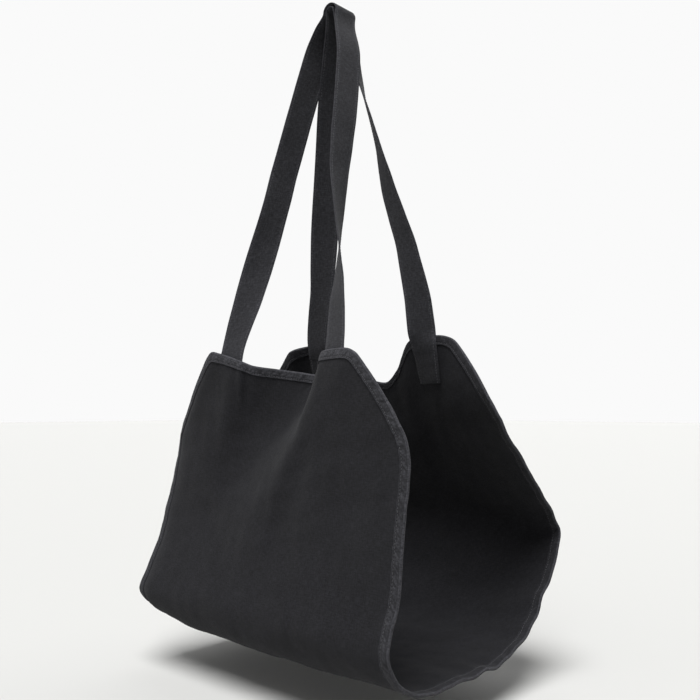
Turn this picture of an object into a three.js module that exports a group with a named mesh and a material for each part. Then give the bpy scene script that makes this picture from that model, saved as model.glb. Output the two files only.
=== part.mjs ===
// Canvas log carrier: one canvas panel with cut corners, bent into a U that is open at both ends,
// bound round its whole edge, and carried by two webbing handles that hang over one point.
//
// Lengths are millimetres. X runs along the load, from the far end (-X) to the near end (+X). The
// front wall is on -Y, the back wall on +Y, and +Z is up. The origin is where the handles hang:
// the middle of the underside of the inner loop.
//
// The panel is a grid of rows, each a length of cloth below the front hem, and of columns, each a
// share of the panel's half width. A column's section is a curve through the rows of the section
// tables; the droop of the hems and the folds are then added to it.

import * as THREE from 'three';

// Sizes of the panel as it is cut
const PANEL_WIDTH = 450;
const CORNER_CUT_ALONG = 87;
const CORNER_CUT_DOWN = 110;
const CORNER_CUT_BULGE = 6;
const CANVAS = 1.6;

// Sizes of the panel as it hangs with its load
const FRONT_HEIGHT = 371;
const BACK_HEIGHT = 396;
const FRONT_MOUTH = 112;
const BACK_MOUTH = 63;
const FRONT_BELLY = 165;
const BACK_BELLY = 196;
const FRONT_BELLY_RISE = 55;
const BACK_BELLY_RISE = 140;
const FRONT_DROOP = 30;
const BACK_DROOP = 62;
const FRONT_TUCK = 38;
const BACK_FLARE = 26;
const FOLD_HEIGHT = 6;
const FOLD_WIDTH = 34;

// Edge binding
const BINDING_WIDTH = 11;
const BINDING_CLOTH = 1.2;
const SEAM_GAP = 0.4;

// Handles
const HANDLE_RISE = 492.5;
const STRAP_WIDTH = 41;
const STRAP_THICKNESS = 2;
const STRAP_MARGIN = 19.5;
const STRAP_TAIL = 62;
const STRAP_GAP = 0.7;
const HANG_RADIUS = 6;
const LOOP_GAP = 3;

// Fineness of the meshes
const COLUMNS = 25;
const CUT_ROWS = 5;
const MAIN_ROWS = 46;
const LEG_STEPS = 22;
const TAIL_STEPS = 4;
const APEX_STEPS = 6;
const STRAP_STRIPS = 3;
const STATIONS = 32;
const CURVE_STEPS = 600;
const CREST_COLUMN = 0.6;

// Colours and roughnesses of the cloths
const CANVAS_FINISH = { color: 0x29292c, roughness: 0.92 };
const BINDING_FINISH = { color: 0x37373b, roughness: 0.85 };
const WEBBING_FINISH = { color: 0x34353a, roughness: 0.8 };

// Sections of the front wall, from the hem down to the belly, at the far end, in the middle and at
// the near end. out: 0 at the mouth, 1 at the belly. up: 0 at the belly, 1 at the hem.
const FRONT_WALL = [
  { farOut: 0, farUp: 1, midOut: 0, midUp: 1, nearOut: 0, nearUp: 1 },
  { farOut: -0.25, farUp: 0.66, midOut: 0.16, midUp: 0.7, nearOut: 0.22, nearUp: 0.66 },
  { farOut: 0, farUp: 0.45, midOut: 0.34, midUp: 0.44, nearOut: 0.33, nearUp: 0.5 },
  { farOut: 0.25, farUp: 0.28, midOut: 0.52, midUp: 0.25, nearOut: 0.55, nearUp: 0.33 },
  { farOut: 0.68, farUp: 0.09, midOut: 0.8, midUp: 0.1, nearOut: 0.67, nearUp: 0.16 },
  { farOut: 0.97, farUp: 0, midOut: 1, midUp: 0, nearOut: 1, nearUp: 0 },
];

// Sections of the bottom. across: 0 at the front belly, 1 at the back belly. up: share of the back
// belly's rise.
const BOTTOM = [
  { farAcross: 0.03, farUp: 0.24, midAcross: 0.025, midUp: 0.19, nearAcross: 0.018, nearUp: 0.25 },
  { farAcross: 0.08, farUp: 0.11, midAcross: 0.08, midUp: 0.06, nearAcross: 0.06, nearUp: 0.13 },
  { farAcross: 0.16, farUp: 0.05, midAcross: 0.16, midUp: 0.01, nearAcross: 0.13, nearUp: 0.03 },
  { farAcross: 0.34, farUp: 0.03, midAcross: 0.34, midUp: 0, nearAcross: 0.33, nearUp: 0 },
  { farAcross: 0.6, farUp: 0.03, midAcross: 0.6, midUp: 0, nearAcross: 0.62, nearUp: 0.035 },
  { farAcross: 0.78, farUp: 0.12, midAcross: 0.78, midUp: 0.08, nearAcross: 0.74, nearUp: 0.18 },
  { farAcross: 0.9, farUp: 0.38, midAcross: 0.91, midUp: 0.34, nearAcross: 0.86, nearUp: 0.47 },
  { farAcross: 0.975, farUp: 0.75, midAcross: 0.98, midUp: 0.72, nearAcross: 0.96, nearUp: 0.8 },
];

// Sections of the back wall, from the belly up to the hem. Columns as for the front wall.
const BACK_WALL = [
  { farOut: 1, farUp: 0, midOut: 1, midUp: 0, nearOut: 0.98, nearUp: 0 },
  { farOut: 0.93, farUp: 0.06, midOut: 0.97, midUp: 0.08, nearOut: 0.9, nearUp: 0.06 },
  { farOut: 0.46, farUp: 0.32, midOut: 0.62, midUp: 0.35, nearOut: 0.33, nearUp: 0.34 },
  { farOut: 0.05, farUp: 0.6, midOut: 0.28, midUp: 0.65, nearOut: -0.12, nearUp: 0.6 },
  { farOut: 0, farUp: 1, midOut: 0, midUp: 1, nearOut: 0, nearUp: 1 },
];

// Shape of the mouth along the hems. along: share of the hem's half width. tuck: push of the front
// hem into the bag, share of FRONT_TUCK. flare: push of the back hem out of it, share of
// BACK_FLARE. frontDrop and backDrop: shares of the two droops. It is flat where a strap is sewn.
const MOUTH = [
  { along: -1, tuck: 0.06, frontDrop: -0.25, flare: -0.25, backDrop: 0.1 },
  { along: -0.84, tuck: 0.02, frontDrop: -0.15, flare: -0.1, backDrop: 0 },
  { along: -0.56, tuck: 0.06, frontDrop: 0.24, flare: 0, backDrop: 0.05 },
  { along: -0.42, tuck: 0.2, frontDrop: 0.5, flare: 0.4, backDrop: 0.45 },
  { along: -0.2, tuck: 0.55, frontDrop: 0.68, flare: 0.8, backDrop: 0.85 },
  { along: 0.05, tuck: 0.84, frontDrop: 0.86, flare: 1, backDrop: 1 },
  { along: 0.26, tuck: 1, frontDrop: 1, flare: 0.72, backDrop: 0.7 },
  { along: 0.38, tuck: 0.97, frontDrop: 0.8, flare: 0.4, backDrop: 0.36 },
  { along: 0.45, tuck: 0.74, frontDrop: 0.55, flare: 0.2, backDrop: 0.17 },
  { along: 0.51, tuck: 0.34, frontDrop: 0.25, flare: 0.08, backDrop: 0.06 },
  { along: 0.57, tuck: 0.07, frontDrop: 0.05, flare: 0.02, backDrop: 0.01 },
  { along: 0.86, tuck: -0.2, frontDrop: 0, flare: 0.15, backDrop: -0.04 },
  { along: 1, tuck: -0.28, frontDrop: 0.05, flare: 0.35, backDrop: 0 },
];

// Slant of the folds that hang from the mouth, in length along X for each length of cloth down the
// wall, and the powers by which the mouth's shape fades down the wall.
const TUCK_DRIFT = 0.6;
const FLARE_DRIFT = 0.25;
const DROOP_FADE = 1.3;
const TUCK_FADE = 1.5;

// The crest beside the near handle: its place on the hem, a share of the hem's half width, and the
// share of the wall down to which the columns follow it.
const CREST_ALONG = 0.52;
const CREST_DOWN = 0.5;

// The power by which the middle sections pass into the end ones
const END_BLEND = 2.2;

// Folds of the walls. They run from one place to another: along is a share of the panel's half
// width, down a share of the wall from its hem to its belly. height is a share of FOLD_HEIGHT,
// positive out of the bag, and width a share of FOLD_WIDTH. A fold rises and falls along its run as
// the part of a half wave between two shares, and it fades to nothing at the belly.
const FOLD_STARTS = 0.2;
const FOLD_ENDS = 0.95;
const FOLD_FADE = 4;
const FOLDS = [
  { wall: 'front', along: 0.33, down: 0.02, toAlong: -0.3, toDown: 0.9, height: 1, width: 1 },
  { wall: 'front', along: 0.1, down: 0.1, toAlong: -0.55, toDown: 0.75, height: -1, width: 1.4 },
  { wall: 'front', along: 0.28, down: 0.18, toAlong: 0, toDown: 0.55, height: 0.5, width: 0.6 },
  { wall: 'front', along: 0.28, down: 0.36, toAlong: 0.05, toDown: 0.78, height: -0.4, width: 0.6 },
  { wall: 'front', along: -0.4, down: 0.04, toAlong: -0.5, toDown: 0.4, height: 0.6, width: 0.5 },
  { wall: 'back', along: 0.44, down: 0.02, toAlong: 0.66, toDown: 0.7, height: -0.8, width: 1 },
  { wall: 'back', along: -0.44, down: 0.02, toAlong: -0.62, toDown: 0.7, height: -0.8, width: 1 },
  { wall: 'back', along: 0.3, down: 0.05, toAlong: 0.1, toDown: 0.75, height: 0.8, width: 1.2 },
];

// Legs of the handles, from the hem (rise 0) to the hang point (rise 1). spread: share of half the
// strap spacing. turn: degrees by which the strap's width has turned away from Y.
const LEGS = {
  frontFar: [
    { rise: 0, spread: 1, turn: 83 },
    { rise: 0.17, spread: 0.83, turn: 58 },
    { rise: 0.43, spread: 0.58, turn: 12 },
    { rise: 0.57, spread: 0.5, turn: 6 },
    { rise: 0.75, spread: 0.35, turn: 0 },
    { rise: 0.9, spread: 0.16, turn: 0 },
    { rise: 1, spread: 0, turn: 0 },
  ],
  frontNear: [
    { rise: 0, spread: 1, turn: 76 },
    { rise: 0.1, spread: 0.93, turn: 72 },
    { rise: 0.26, spread: 0.78, turn: 46 },
    { rise: 0.4, spread: 0.62, turn: 22 },
    { rise: 0.52, spread: 0.51, turn: 4 },
    { rise: 0.66, spread: 0.43, turn: -6 },
    { rise: 0.84, spread: 0.23, turn: -8 },
    { rise: 1, spread: 0, turn: 0 },
  ],
  backFar: [
    { rise: 0, spread: 1, turn: 90 },
    { rise: 0.18, spread: 0.79, turn: 78 },
    { rise: 0.37, spread: 0.61, turn: 55 },
    { rise: 0.57, spread: 0.4, turn: 42 },
    { rise: 0.75, spread: 0.23, turn: 30 },
    { rise: 0.88, spread: 0.1, turn: 8 },
    { rise: 1, spread: 0, turn: 0 },
  ],
  backNear: [
    { rise: 0, spread: 1, turn: 92 },
    { rise: 0.1, spread: 0.97, turn: 87 },
    { rise: 0.25, spread: 0.87, turn: 79 },
    { rise: 0.46, spread: 0.6, turn: 66 },
    { rise: 0.59, spread: 0.47, turn: 46 },
    { rise: 0.74, spread: 0.28, turn: 34 },
    { rise: 0.88, spread: 0.1, turn: 8 },
    { rise: 1, spread: 0, turn: 0 },
  ],
};

// Places that follow from the sizes
const HALF_WIDTH = PANEL_WIDTH / 2;
const HALF_HEM = HALF_WIDTH - CORNER_CUT_ALONG;
const BOTTOM_Z = -(HANDLE_RISE + FRONT_HEIGHT);
const STRAP_SPACING = 2 * (HALF_HEM - STRAP_MARGIN) - STRAP_WIDTH;
const CUT_INSET = BINDING_WIDTH * Math.hypot(1, CORNER_CUT_ALONG / CORNER_CUT_DOWN);
const STRAP_OFFSET = CANVAS / 2 + SEAM_GAP + BINDING_CLOTH + STRAP_GAP + STRAP_THICKNESS / 2;

const lerp = THREE.MathUtils.lerp;
const clamp = THREE.MathUtils.clamp;

// A column of a table at a place between its rows, on a smooth curve through them that never
// passes beyond the values of the two rows beside it.
function tableAt(rows, key, value, place) {
  const last = rows.length - 1;
  const at = clamp(place, rows[0][key], rows[last][key]);
  const index = Math.min(last - 1, rows.filter((row, i) => i > 0 && row[key] < at).length);
  const slopeAfter = (i) => (rows[i + 1][value] - rows[i][value]) / (rows[i + 1][key] - rows[i][key]);
  const slopeAt = (i) => {
    if (i === 0 || i === last) {
      return 0;
    }
    const before = slopeAfter(i - 1);
    const after = slopeAfter(i);
    return before * after > 0 ? (2 * before * after) / (before + after) : 0;
  };
  const span = rows[index + 1][key] - rows[index][key];
  const t = (at - rows[index][key]) / span;
  const rest = 1 - t;
  return (
    rows[index][value] * rest * rest * (1 + 2 * t) +
    rows[index + 1][value] * t * t * (3 - 2 * t) +
    slopeAt(index) * span * t * rest * rest -
    slopeAt(index + 1) * span * t * t * rest
  );
}

// Half width of the flat panel, a length of cloth away from the nearer hem. The cut corners bulge a
// little past the straight line.
function halfWidthAt(fromHem) {
  const share = Math.min(1, fromHem / CORNER_CUT_DOWN);
  return HALF_HEM + share * CORNER_CUT_ALONG + CORNER_CUT_BULGE * Math.sin(Math.PI * share);
}

// A table's value at one column of the panel, between its middle and its far or near end.
function stationValue(row, name, share) {
  const end = share < 0 ? row[`far${name}`] : row[`near${name}`];
  return lerp(row[`mid${name}`], end, Math.abs(share) ** END_BLEND);
}

// The section of the panel at one column, a curve from the front hem to the back hem.
function sectionCurve(share) {
  const front = FRONT_WALL.map((row) => [
    -lerp(FRONT_MOUTH, FRONT_BELLY, stationValue(row, 'Out', share)),
    lerp(FRONT_BELLY_RISE, FRONT_HEIGHT, stationValue(row, 'Up', share)),
  ]);
  const bottom = BOTTOM.map((row) => [
    lerp(-FRONT_BELLY, BACK_BELLY, stationValue(row, 'Across', share)),
    BACK_BELLY_RISE * stationValue(row, 'Up', share),
  ]);
  const back = BACK_WALL.map((row) => [
    lerp(BACK_MOUTH, BACK_BELLY, stationValue(row, 'Out', share)),
    lerp(BACK_BELLY_RISE, BACK_HEIGHT, stationValue(row, 'Up', share)),
  ]);
  const points = [...front, ...bottom, ...back].map(([y, z]) => new THREE.Vector3(0, y, z + BOTTOM_Z));
  const curve = new THREE.CatmullRomCurve3(points, false, 'centripetal');
  curve.arcLengthDivisions = CURVE_STEPS;
  return curve;
}

// Height of all the folds of one wall, at a place on it.
function foldsAt(wall, x, down) {
  return FOLDS.filter((fold) => fold.wall === wall).reduce((sum, fold) => {
    const start = new THREE.Vector2(fold.along * HALF_WIDTH, fold.down * FRONT_HEIGHT);
    const run = new THREE.Vector2(fold.toAlong * HALF_WIDTH, fold.toDown * FRONT_HEIGHT).sub(start);
    const from = new THREE.Vector2(x, down * FRONT_HEIGHT).sub(start);
    const share = clamp(from.dot(run) / run.lengthSq(), 0, 1);
    const away = from.sub(run.multiplyScalar(share)).length() / (fold.width * FOLD_WIDTH);
    const ends = Math.sin(Math.PI * lerp(FOLD_STARTS, FOLD_ENDS, share));
    return sum + fold.height * FOLD_HEIGHT * ends * Math.exp(-away * away);
  }, 0);
}

// Push of the mouth and the folds on a point of the cloth, as a length along Y and one down.
function mouthAndFolds(x, fromFront, fromBack, frontLength, backLength) {
  const front = fromFront < fromBack;
  const down = front ? fromFront / frontLength : fromBack / backLength;
  if (down >= 1) {
    return { y: 0, drop: 0 };
  }
  const fade = 1 - down;
  const hem = front ? fromFront : fromBack;
  const drift = front ? TUCK_DRIFT : FLARE_DRIFT;
  const along = clamp((x + drift * hem) / HALF_HEM, -1, 1);
  const droopAlong = clamp(x / HALF_HEM, -1, 1);
  const folds = foldsAt(front ? 'front' : 'back', x, down) * Math.min(1, fade * FOLD_FADE);
  if (front) {
    const tuck = FRONT_TUCK * tableAt(MOUTH, 'along', 'tuck', along) * fade ** TUCK_FADE;
    const drop = FRONT_DROOP * tableAt(MOUTH, 'along', 'frontDrop', droopAlong) * fade ** DROOP_FADE;
    return { y: tuck - folds, drop };
  }
  const flare = BACK_FLARE * tableAt(MOUTH, 'along', 'flare', along) * fade ** TUCK_FADE;
  const drop = BACK_DROOP * tableAt(MOUTH, 'along', 'backDrop', droopAlong) * fade ** DROOP_FADE;
  return { y: flare + folds, drop };
}

// The rows of the grid: lengths of cloth from the front hem, on a section of a given length. The
// second row and the second last lie on the inner edge of the binding.
function rowLengths(total) {
  const cut = [0, BINDING_WIDTH];
  for (let row = 2; row <= CUT_ROWS; row += 1) {
    cut.push(lerp(BINDING_WIDTH, CORNER_CUT_DOWN, (row - 1) / (CUT_ROWS - 1)));
  }
  const main = [];
  for (let row = 1; row < MAIN_ROWS; row += 1) {
    main.push(lerp(CORNER_CUT_DOWN, total - CORNER_CUT_DOWN, row / MAIN_ROWS));
  }
  return [...cut, ...main, ...cut.map((length) => total - length).reverse()];
}

// The line along X that a column of the grid follows at a row, so that the folds which hang from
// the near handle's edge run along the columns: a place along X for each length below a hem.
function crestPlace(fromHem, drift, wallLength) {
  const place = CREST_ALONG * HALF_HEM - drift * fromHem;
  return place * (1 - THREE.MathUtils.smoothstep(fromHem / wallLength, CREST_DOWN, 1));
}

// The columns of the grid, on one row: places along X. The second and the second last lie on the
// inner edge of the binding, and the columns between are drawn towards the crest.
function columnPlaces(fromHem, crest) {
  const half = halfWidthAt(fromHem);
  const inner = half - (fromHem < CORNER_CUT_DOWN ? CUT_INSET : BINDING_WIDTH);
  const places = [-half];
  for (let column = 0; column <= COLUMNS; column += 1) {
    const share = column / COLUMNS;
    const place = share < CREST_COLUMN
      ? lerp(-inner, crest, share / CREST_COLUMN)
      : lerp(crest, inner, (share - CREST_COLUMN) / (1 - CREST_COLUMN));
    places.push(place);
  }
  places.push(half);
  return places;
}

// The section curves at evenly spaced shares of the panel's half width, with the length of cloth in
// their front and back walls and the rows' points on them.
function sections() {
  const list = [];
  for (let station = 0; station <= STATIONS; station += 1) {
    const curve = sectionCurve(lerp(-1, 1, station / STATIONS));
    const lengths = curve.getLengths();
    const total = curve.getLength();
    const spans = FRONT_WALL.length + BOTTOM.length + BACK_WALL.length - 1;
    const lengthAt = (index) => lengths[Math.round((index / spans) * (lengths.length - 1))];
    const rows = rowLengths(total);
    list.push({
      rows,
      total,
      front: lengthAt(FRONT_WALL.length - 1),
      back: total - lengthAt(spans - BACK_WALL.length + 1),
      points: rows.map((length) => curve.getPointAt(length / total)),
    });
  }
  return list;
}

// The cloth at each corner of the hems is laid flat, where the binding turns, and the edge points
// that the binding's sections skip are put on the straight line between their neighbours.
function flattenCorners(points) {
  const lastRow = points.length - 1;
  const lastColumn = points[0].length - 1;
  for (const [row, rowStep] of [[0, 1], [lastRow, -1]]) {
    for (const [column, columnStep] of [[0, 1], [lastColumn, -1]]) {
      const at = (down, along) => points[row + down * rowStep][column + along * columnStep];
      const plane = new THREE.Plane().setFromCoplanarPoints(at(0, 0), at(0, 2), at(2, 0));
      for (const [down, along] of [[1, 1], [1, 2], [2, 1], [2, 2]]) {
        plane.projectPoint(at(down, along).clone(), at(down, along));
      }
      for (const [between, beyond] of [[at(0, 1), at(0, 2)], [at(1, 0), at(2, 0)]]) {
        const near = at(0, 0).distanceTo(between);
        between.copy(at(0, 0)).lerp(beyond, near / (near + between.distanceTo(beyond)));
      }
    }
  }
}

// The grid of the panel's middle surface: points and normals out of the bag, by row and column,
// with each point's place on the flat cloth.
function panelGrid() {
  const list = sections();
  const middle = list[STATIONS / 2];
  const points = [];
  const flat = [];
  middle.rows.forEach((length, row) => {
    const fromBack = middle.total - length;
    const front = length < fromBack;
    const fromHem = Math.min(length, fromBack);
    const crest = front
      ? crestPlace(fromHem, TUCK_DRIFT, middle.front)
      : crestPlace(fromHem, FLARE_DRIFT, middle.back);
    const line = columnPlaces(fromHem, crest);
    points.push(line.map((x) => {
      const place = (x / halfWidthAt(fromHem) + 1) / 2 * STATIONS;
      const below = Math.min(Math.floor(place), STATIONS - 1);
      const blend = (name) => lerp(list[below][name], list[below + 1][name], place - below);
      const point = list[below].points[row].clone().lerp(list[below + 1].points[row], place - below);
      const here = lerp(list[below].rows[row], list[below + 1].rows[row], place - below);
      const push = mouthAndFolds(x, here, blend('total') - here, blend('front'), blend('back'));
      return new THREE.Vector3(x, point.y + push.y, point.z - push.drop);
    }));
    flat.push({ places: line, length, fromBack });
  });
  const rows = points.length;
  const columns = points[0].length;
  flattenCorners(points);
  const normals = points.map((line, row) => line.map((point, column) => {
    const along = new THREE.Vector3().subVectors(
      line[Math.min(column + 1, columns - 1)], line[Math.max(column - 1, 0)]);
    const down = new THREE.Vector3().subVectors(
      points[Math.min(row + 1, rows - 1)][column], points[Math.max(row - 1, 0)][column]);
    return down.cross(along).normalize();
  }));
  return { points, normals, flat, rows, columns };
}

// One closed body from triangles given as triples of points, all facing outwards.
function meshOf(name, finish, triangles) {
  const positions = new Float32Array(triangles.length * 9);
  triangles.forEach((triangle, index) => {
    triangle.forEach((point, corner) => point.toArray(positions, index * 9 + corner * 3));
  });
  const geometry = new THREE.BufferGeometry();
  geometry.setAttribute('position', new THREE.BufferAttribute(positions, 3));
  geometry.computeVertexNormals();
  const mesh = new THREE.Mesh(geometry, new THREE.MeshStandardMaterial({ ...finish, metalness: 0 }));
  mesh.name = name;
  return mesh;
}

// Two triangles of a four-sided face, its corners in turn, split along its shorter diagonal.
function quad(a, b, c, d) {
  return a.distanceToSquared(c) <= b.distanceToSquared(d)
    ? [[a, b, c], [a, c, d]]
    : [[b, c, d], [b, d, a]];
}

// The side of a row of rings of points, joined from the last to the first if it is closed.
function skin(rings, closed) {
  const triangles = [];
  const count = rings.length;
  const steps = closed ? count : count - 1;
  for (let step = 0; step < steps; step += 1) {
    const here = rings[step];
    const next = rings[(step + 1) % count];
    here.forEach((point, index) => {
      const beside = (index + 1) % here.length;
      triangles.push(...quad(point, here[beside], next[beside], next[index]));
    });
  }
  return triangles;
}

// The canvas panel: the grid's surface moved half the cloth out and half in, joined at the edge.
function bodyPanel(grid) {
  const side = (distance) => grid.points.map((line, row) => line.map((point, column) =>
    point.clone().addScaledVector(grid.normals[row][column], distance)));
  const outer = side(CANVAS / 2);
  const inner = side(-CANVAS / 2);
  const triangles = [];
  for (let row = 0; row < grid.rows - 1; row += 1) {
    for (let column = 0; column < grid.columns - 1; column += 1) {
      triangles.push(...quad(
        outer[row][column], outer[row + 1][column], outer[row + 1][column + 1], outer[row][column + 1]));
      triangles.push(...quad(
        inner[row][column], inner[row][column + 1], inner[row + 1][column + 1], inner[row + 1][column]));
    }
  }
  const edge = perimeter(grid.rows, grid.columns);
  edge.forEach(([row, column], index) => {
    const [nextRow, nextColumn] = edge[(index + 1) % edge.length];
    triangles.push(...quad(
      outer[row][column], outer[nextRow][nextColumn], inner[nextRow][nextColumn], inner[row][column]));
  });
  return meshOf('body_panel', CANVAS_FINISH, triangles);
}

// The grid's edge as places in turn: along the front hem towards the near end, down the near edge,
// back along the back hem and up the far edge.
function perimeter(rows, columns) {
  const places = [];
  for (let column = 0; column < columns - 1; column += 1) {
    places.push([0, column]);
  }
  for (let row = 0; row < rows - 1; row += 1) {
    places.push([row, columns - 1]);
  }
  for (let column = columns - 1; column > 0; column -= 1) {
    places.push([rows - 1, column]);
  }
  for (let row = rows - 1; row > 0; row -= 1) {
    places.push([row, 0]);
  }
  return places;
}

// The binding: a strip folded round the panel's edge, one ring of channel sections. A section lies
// at each edge point of the grid, apart from the two beside each corner of the hems, where the
// corner's own section turns it.
function edgeBinding(grid) {
  const lastRow = grid.rows - 1;
  const lastColumn = grid.columns - 1;
  const besideCorner = ([row, column]) =>
    ((row === 1 || row === lastRow - 1) && (column === 0 || column === lastColumn)) ||
    ((column === 1 || column === lastColumn - 1) && (row === 0 || row === lastRow));
  const near = CANVAS / 2 + SEAM_GAP;
  const far = near + BINDING_CLOTH;
  const rings = perimeter(grid.rows, grid.columns)
    .filter((place) => !besideCorner(place))
    .map(([row, column]) => {
      const innerRow = clamp(row, 1, lastRow - 1);
      const innerColumn = clamp(column, 1, lastColumn - 1);
      const edge = grid.points[row][column];
      const inset = grid.points[innerRow][innerColumn];
      const edgeNormal = grid.normals[row][column];
      const insetNormal = grid.normals[innerRow][innerColumn];
      const out = new THREE.Vector3().subVectors(edge, inset).normalize();
      const corner = (reach, lift) => edge.clone().addScaledVector(out, reach)
        .addScaledVector(edgeNormal, lift);
      const leg = (lift) => inset.clone().addScaledVector(insetNormal, lift);
      return [
        leg(near), corner(SEAM_GAP, near), corner(SEAM_GAP, -near), leg(-near),
        leg(-far), corner(SEAM_GAP + BINDING_CLOTH, -far),
        corner(SEAM_GAP + BINDING_CLOTH, far), leg(far),
      ];
    });
  return meshOf('edge_binding', BINDING_FINISH, skin(rings, true));
}

// A point of the strap's middle surface where it is sewn to a wall: on the wall's inner side, clear
// of the binding, at a place along X and a length of cloth below the wall's hem.
function sewnPoint(grid, back, x, fromHem) {
  const depths = grid.flat.map((line) => (back ? line.fromBack : line.length));
  const order = [...depths.keys()].sort((one, other) => depths[one] - depths[other]);
  const next = Math.max(1, order.findIndex((row) => depths[row] >= fromHem));
  const [above, below] = [order[next - 1], order[next]];
  const downShare = (fromHem - depths[above]) / (depths[below] - depths[above]);
  const onRow = (row) => {
    const { places } = grid.flat[row];
    const right = places.findIndex((place) => place > x);
    const share = (x - places[right - 1]) / (places[right] - places[right - 1]);
    return {
      point: grid.points[row][right - 1].clone().lerp(grid.points[row][right], share),
      normal: grid.normals[row][right - 1].clone().lerp(grid.normals[row][right], share),
    };
  };
  const upper = onRow(above);
  const lower = onRow(below);
  const normal = upper.normal.lerp(lower.normal, downShare).normalize();
  return upper.point.lerp(lower.point, downShare).addScaledVector(normal, -STRAP_OFFSET);
}

// Places across the strap, from one edge to the other, as shares of its half width.
function acrossShares() {
  return Array.from({ length: STRAP_STRIPS + 1 }, (unused, index) => lerp(-1, 1, index / STRAP_STRIPS));
}

// One leg of a handle, from the tail's end inside the wall to the start of the bend over the hang
// point: rows of points across the strap's middle surface.
function legRows(grid, back, side, table, bendRadius, bendZ) {
  const x = side * STRAP_SPACING / 2;
  const half = STRAP_WIDTH / 2;
  const rows = [];
  for (let step = 0; step <= TAIL_STEPS; step += 1) {
    const fromHem = lerp(STRAP_TAIL, 0, step / TAIL_STEPS);
    rows.push(acrossShares().map((share) => sewnPoint(grid, back, x - side * half * share, fromHem)));
  }
  const hemRow = rows[TAIL_STEPS];
  const hem = hemRow[0].clone().lerp(hemRow[STRAP_STRIPS], 0.5);
  for (let step = 1; step <= LEG_STEPS; step += 1) {
    const rise = step / LEG_STEPS;
    const spread = tableAt(table, 'rise', 'spread', rise);
    const turn = THREE.MathUtils.degToRad(tableAt(table, 'rise', 'turn', rise));
    const middle = new THREE.Vector3(
      side * lerp(bendRadius, STRAP_SPACING / 2, spread),
      lerp(hem.y, 0, rise),
      lerp(hem.z, bendZ, rise));
    const width = new THREE.Vector3(-side * Math.sin(turn), Math.cos(turn), 0);
    rows.push(acrossShares().map((share) => middle.clone().addScaledVector(width, half * share)));
  }
  return rows;
}

// A handle: both legs and the bend between them, as one strap of even thickness.
function handle(name, grid, back, farTable, nearTable, lift) {
  const bendRadius = HANG_RADIUS + lift + STRAP_THICKNESS / 2;
  const bendZ = lift + STRAP_THICKNESS / 2 - bendRadius;
  const far = legRows(grid, back, -1, farTable, bendRadius, bendZ);
  const near = legRows(grid, back, 1, nearTable, bendRadius, bendZ).reverse();
  const bend = [];
  for (let step = 1; step < APEX_STEPS; step += 1) {
    const angle = Math.PI * (1 - step / APEX_STEPS);
    bend.push(acrossShares().map((share) => new THREE.Vector3(
      bendRadius * Math.cos(angle), share * STRAP_WIDTH / 2, bendZ + bendRadius * Math.sin(angle))));
  }
  const rows = [...far, ...bend, ...near];
  const rings = rows.map((row, index) => {
    const before = rows[Math.max(index - 1, 0)];
    const after = rows[Math.min(index + 1, rows.length - 1)];
    const lifted = (upwards) => row.map((point, place) => {
      const tangent = new THREE.Vector3().subVectors(after[place], before[place]);
      const across = new THREE.Vector3().subVectors(
        row[Math.min(place + 1, STRAP_STRIPS)], row[Math.max(place - 1, 0)]);
      const up = tangent.cross(across).setLength(upwards * STRAP_THICKNESS / 2);
      return point.clone().add(up);
    });
    return [...lifted(-1), ...lifted(1).reverse()];
  });
  const cap = (ring) => {
    const last = ring.length - 1;
    return acrossShares().slice(1).flatMap((share, strip) =>
      quad(ring[strip], ring[last - strip], ring[last - strip - 1], ring[strip + 1]));
  };
  const start = cap(rings[0]);
  const end = cap(rings[rings.length - 1]).map((triangle) => [...triangle].reverse());
  return meshOf(name, WEBBING_FINISH, [...skin(rings, false), ...start, ...end]);
}

const grid = panelGrid();
const group = new THREE.Group();
group.add(bodyPanel(grid));
group.add(edgeBinding(grid));
group.add(handle('front_handle', grid, false, LEGS.frontFar, LEGS.frontNear, STRAP_THICKNESS + LOOP_GAP));
group.add(handle('back_handle', grid, true, LEGS.backFar, LEGS.backNear, 0));

export default group;
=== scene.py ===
"""Looks of a black canvas log carrier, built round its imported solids.

The carrier is one canvas panel with cut corners, hung as a U that is open at both ends from two
stitched straps. Each cloth starts flat, at the size it was cut to, and is laid on the surface in
which it hangs. Lengths are metres, +Z is up, +X runs from the far open end to the near one, the
front wall is on -Y, and the origin is where the handles hang.
"""

import logging
import math
from dataclasses import dataclass, field
from enum import Enum

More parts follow.
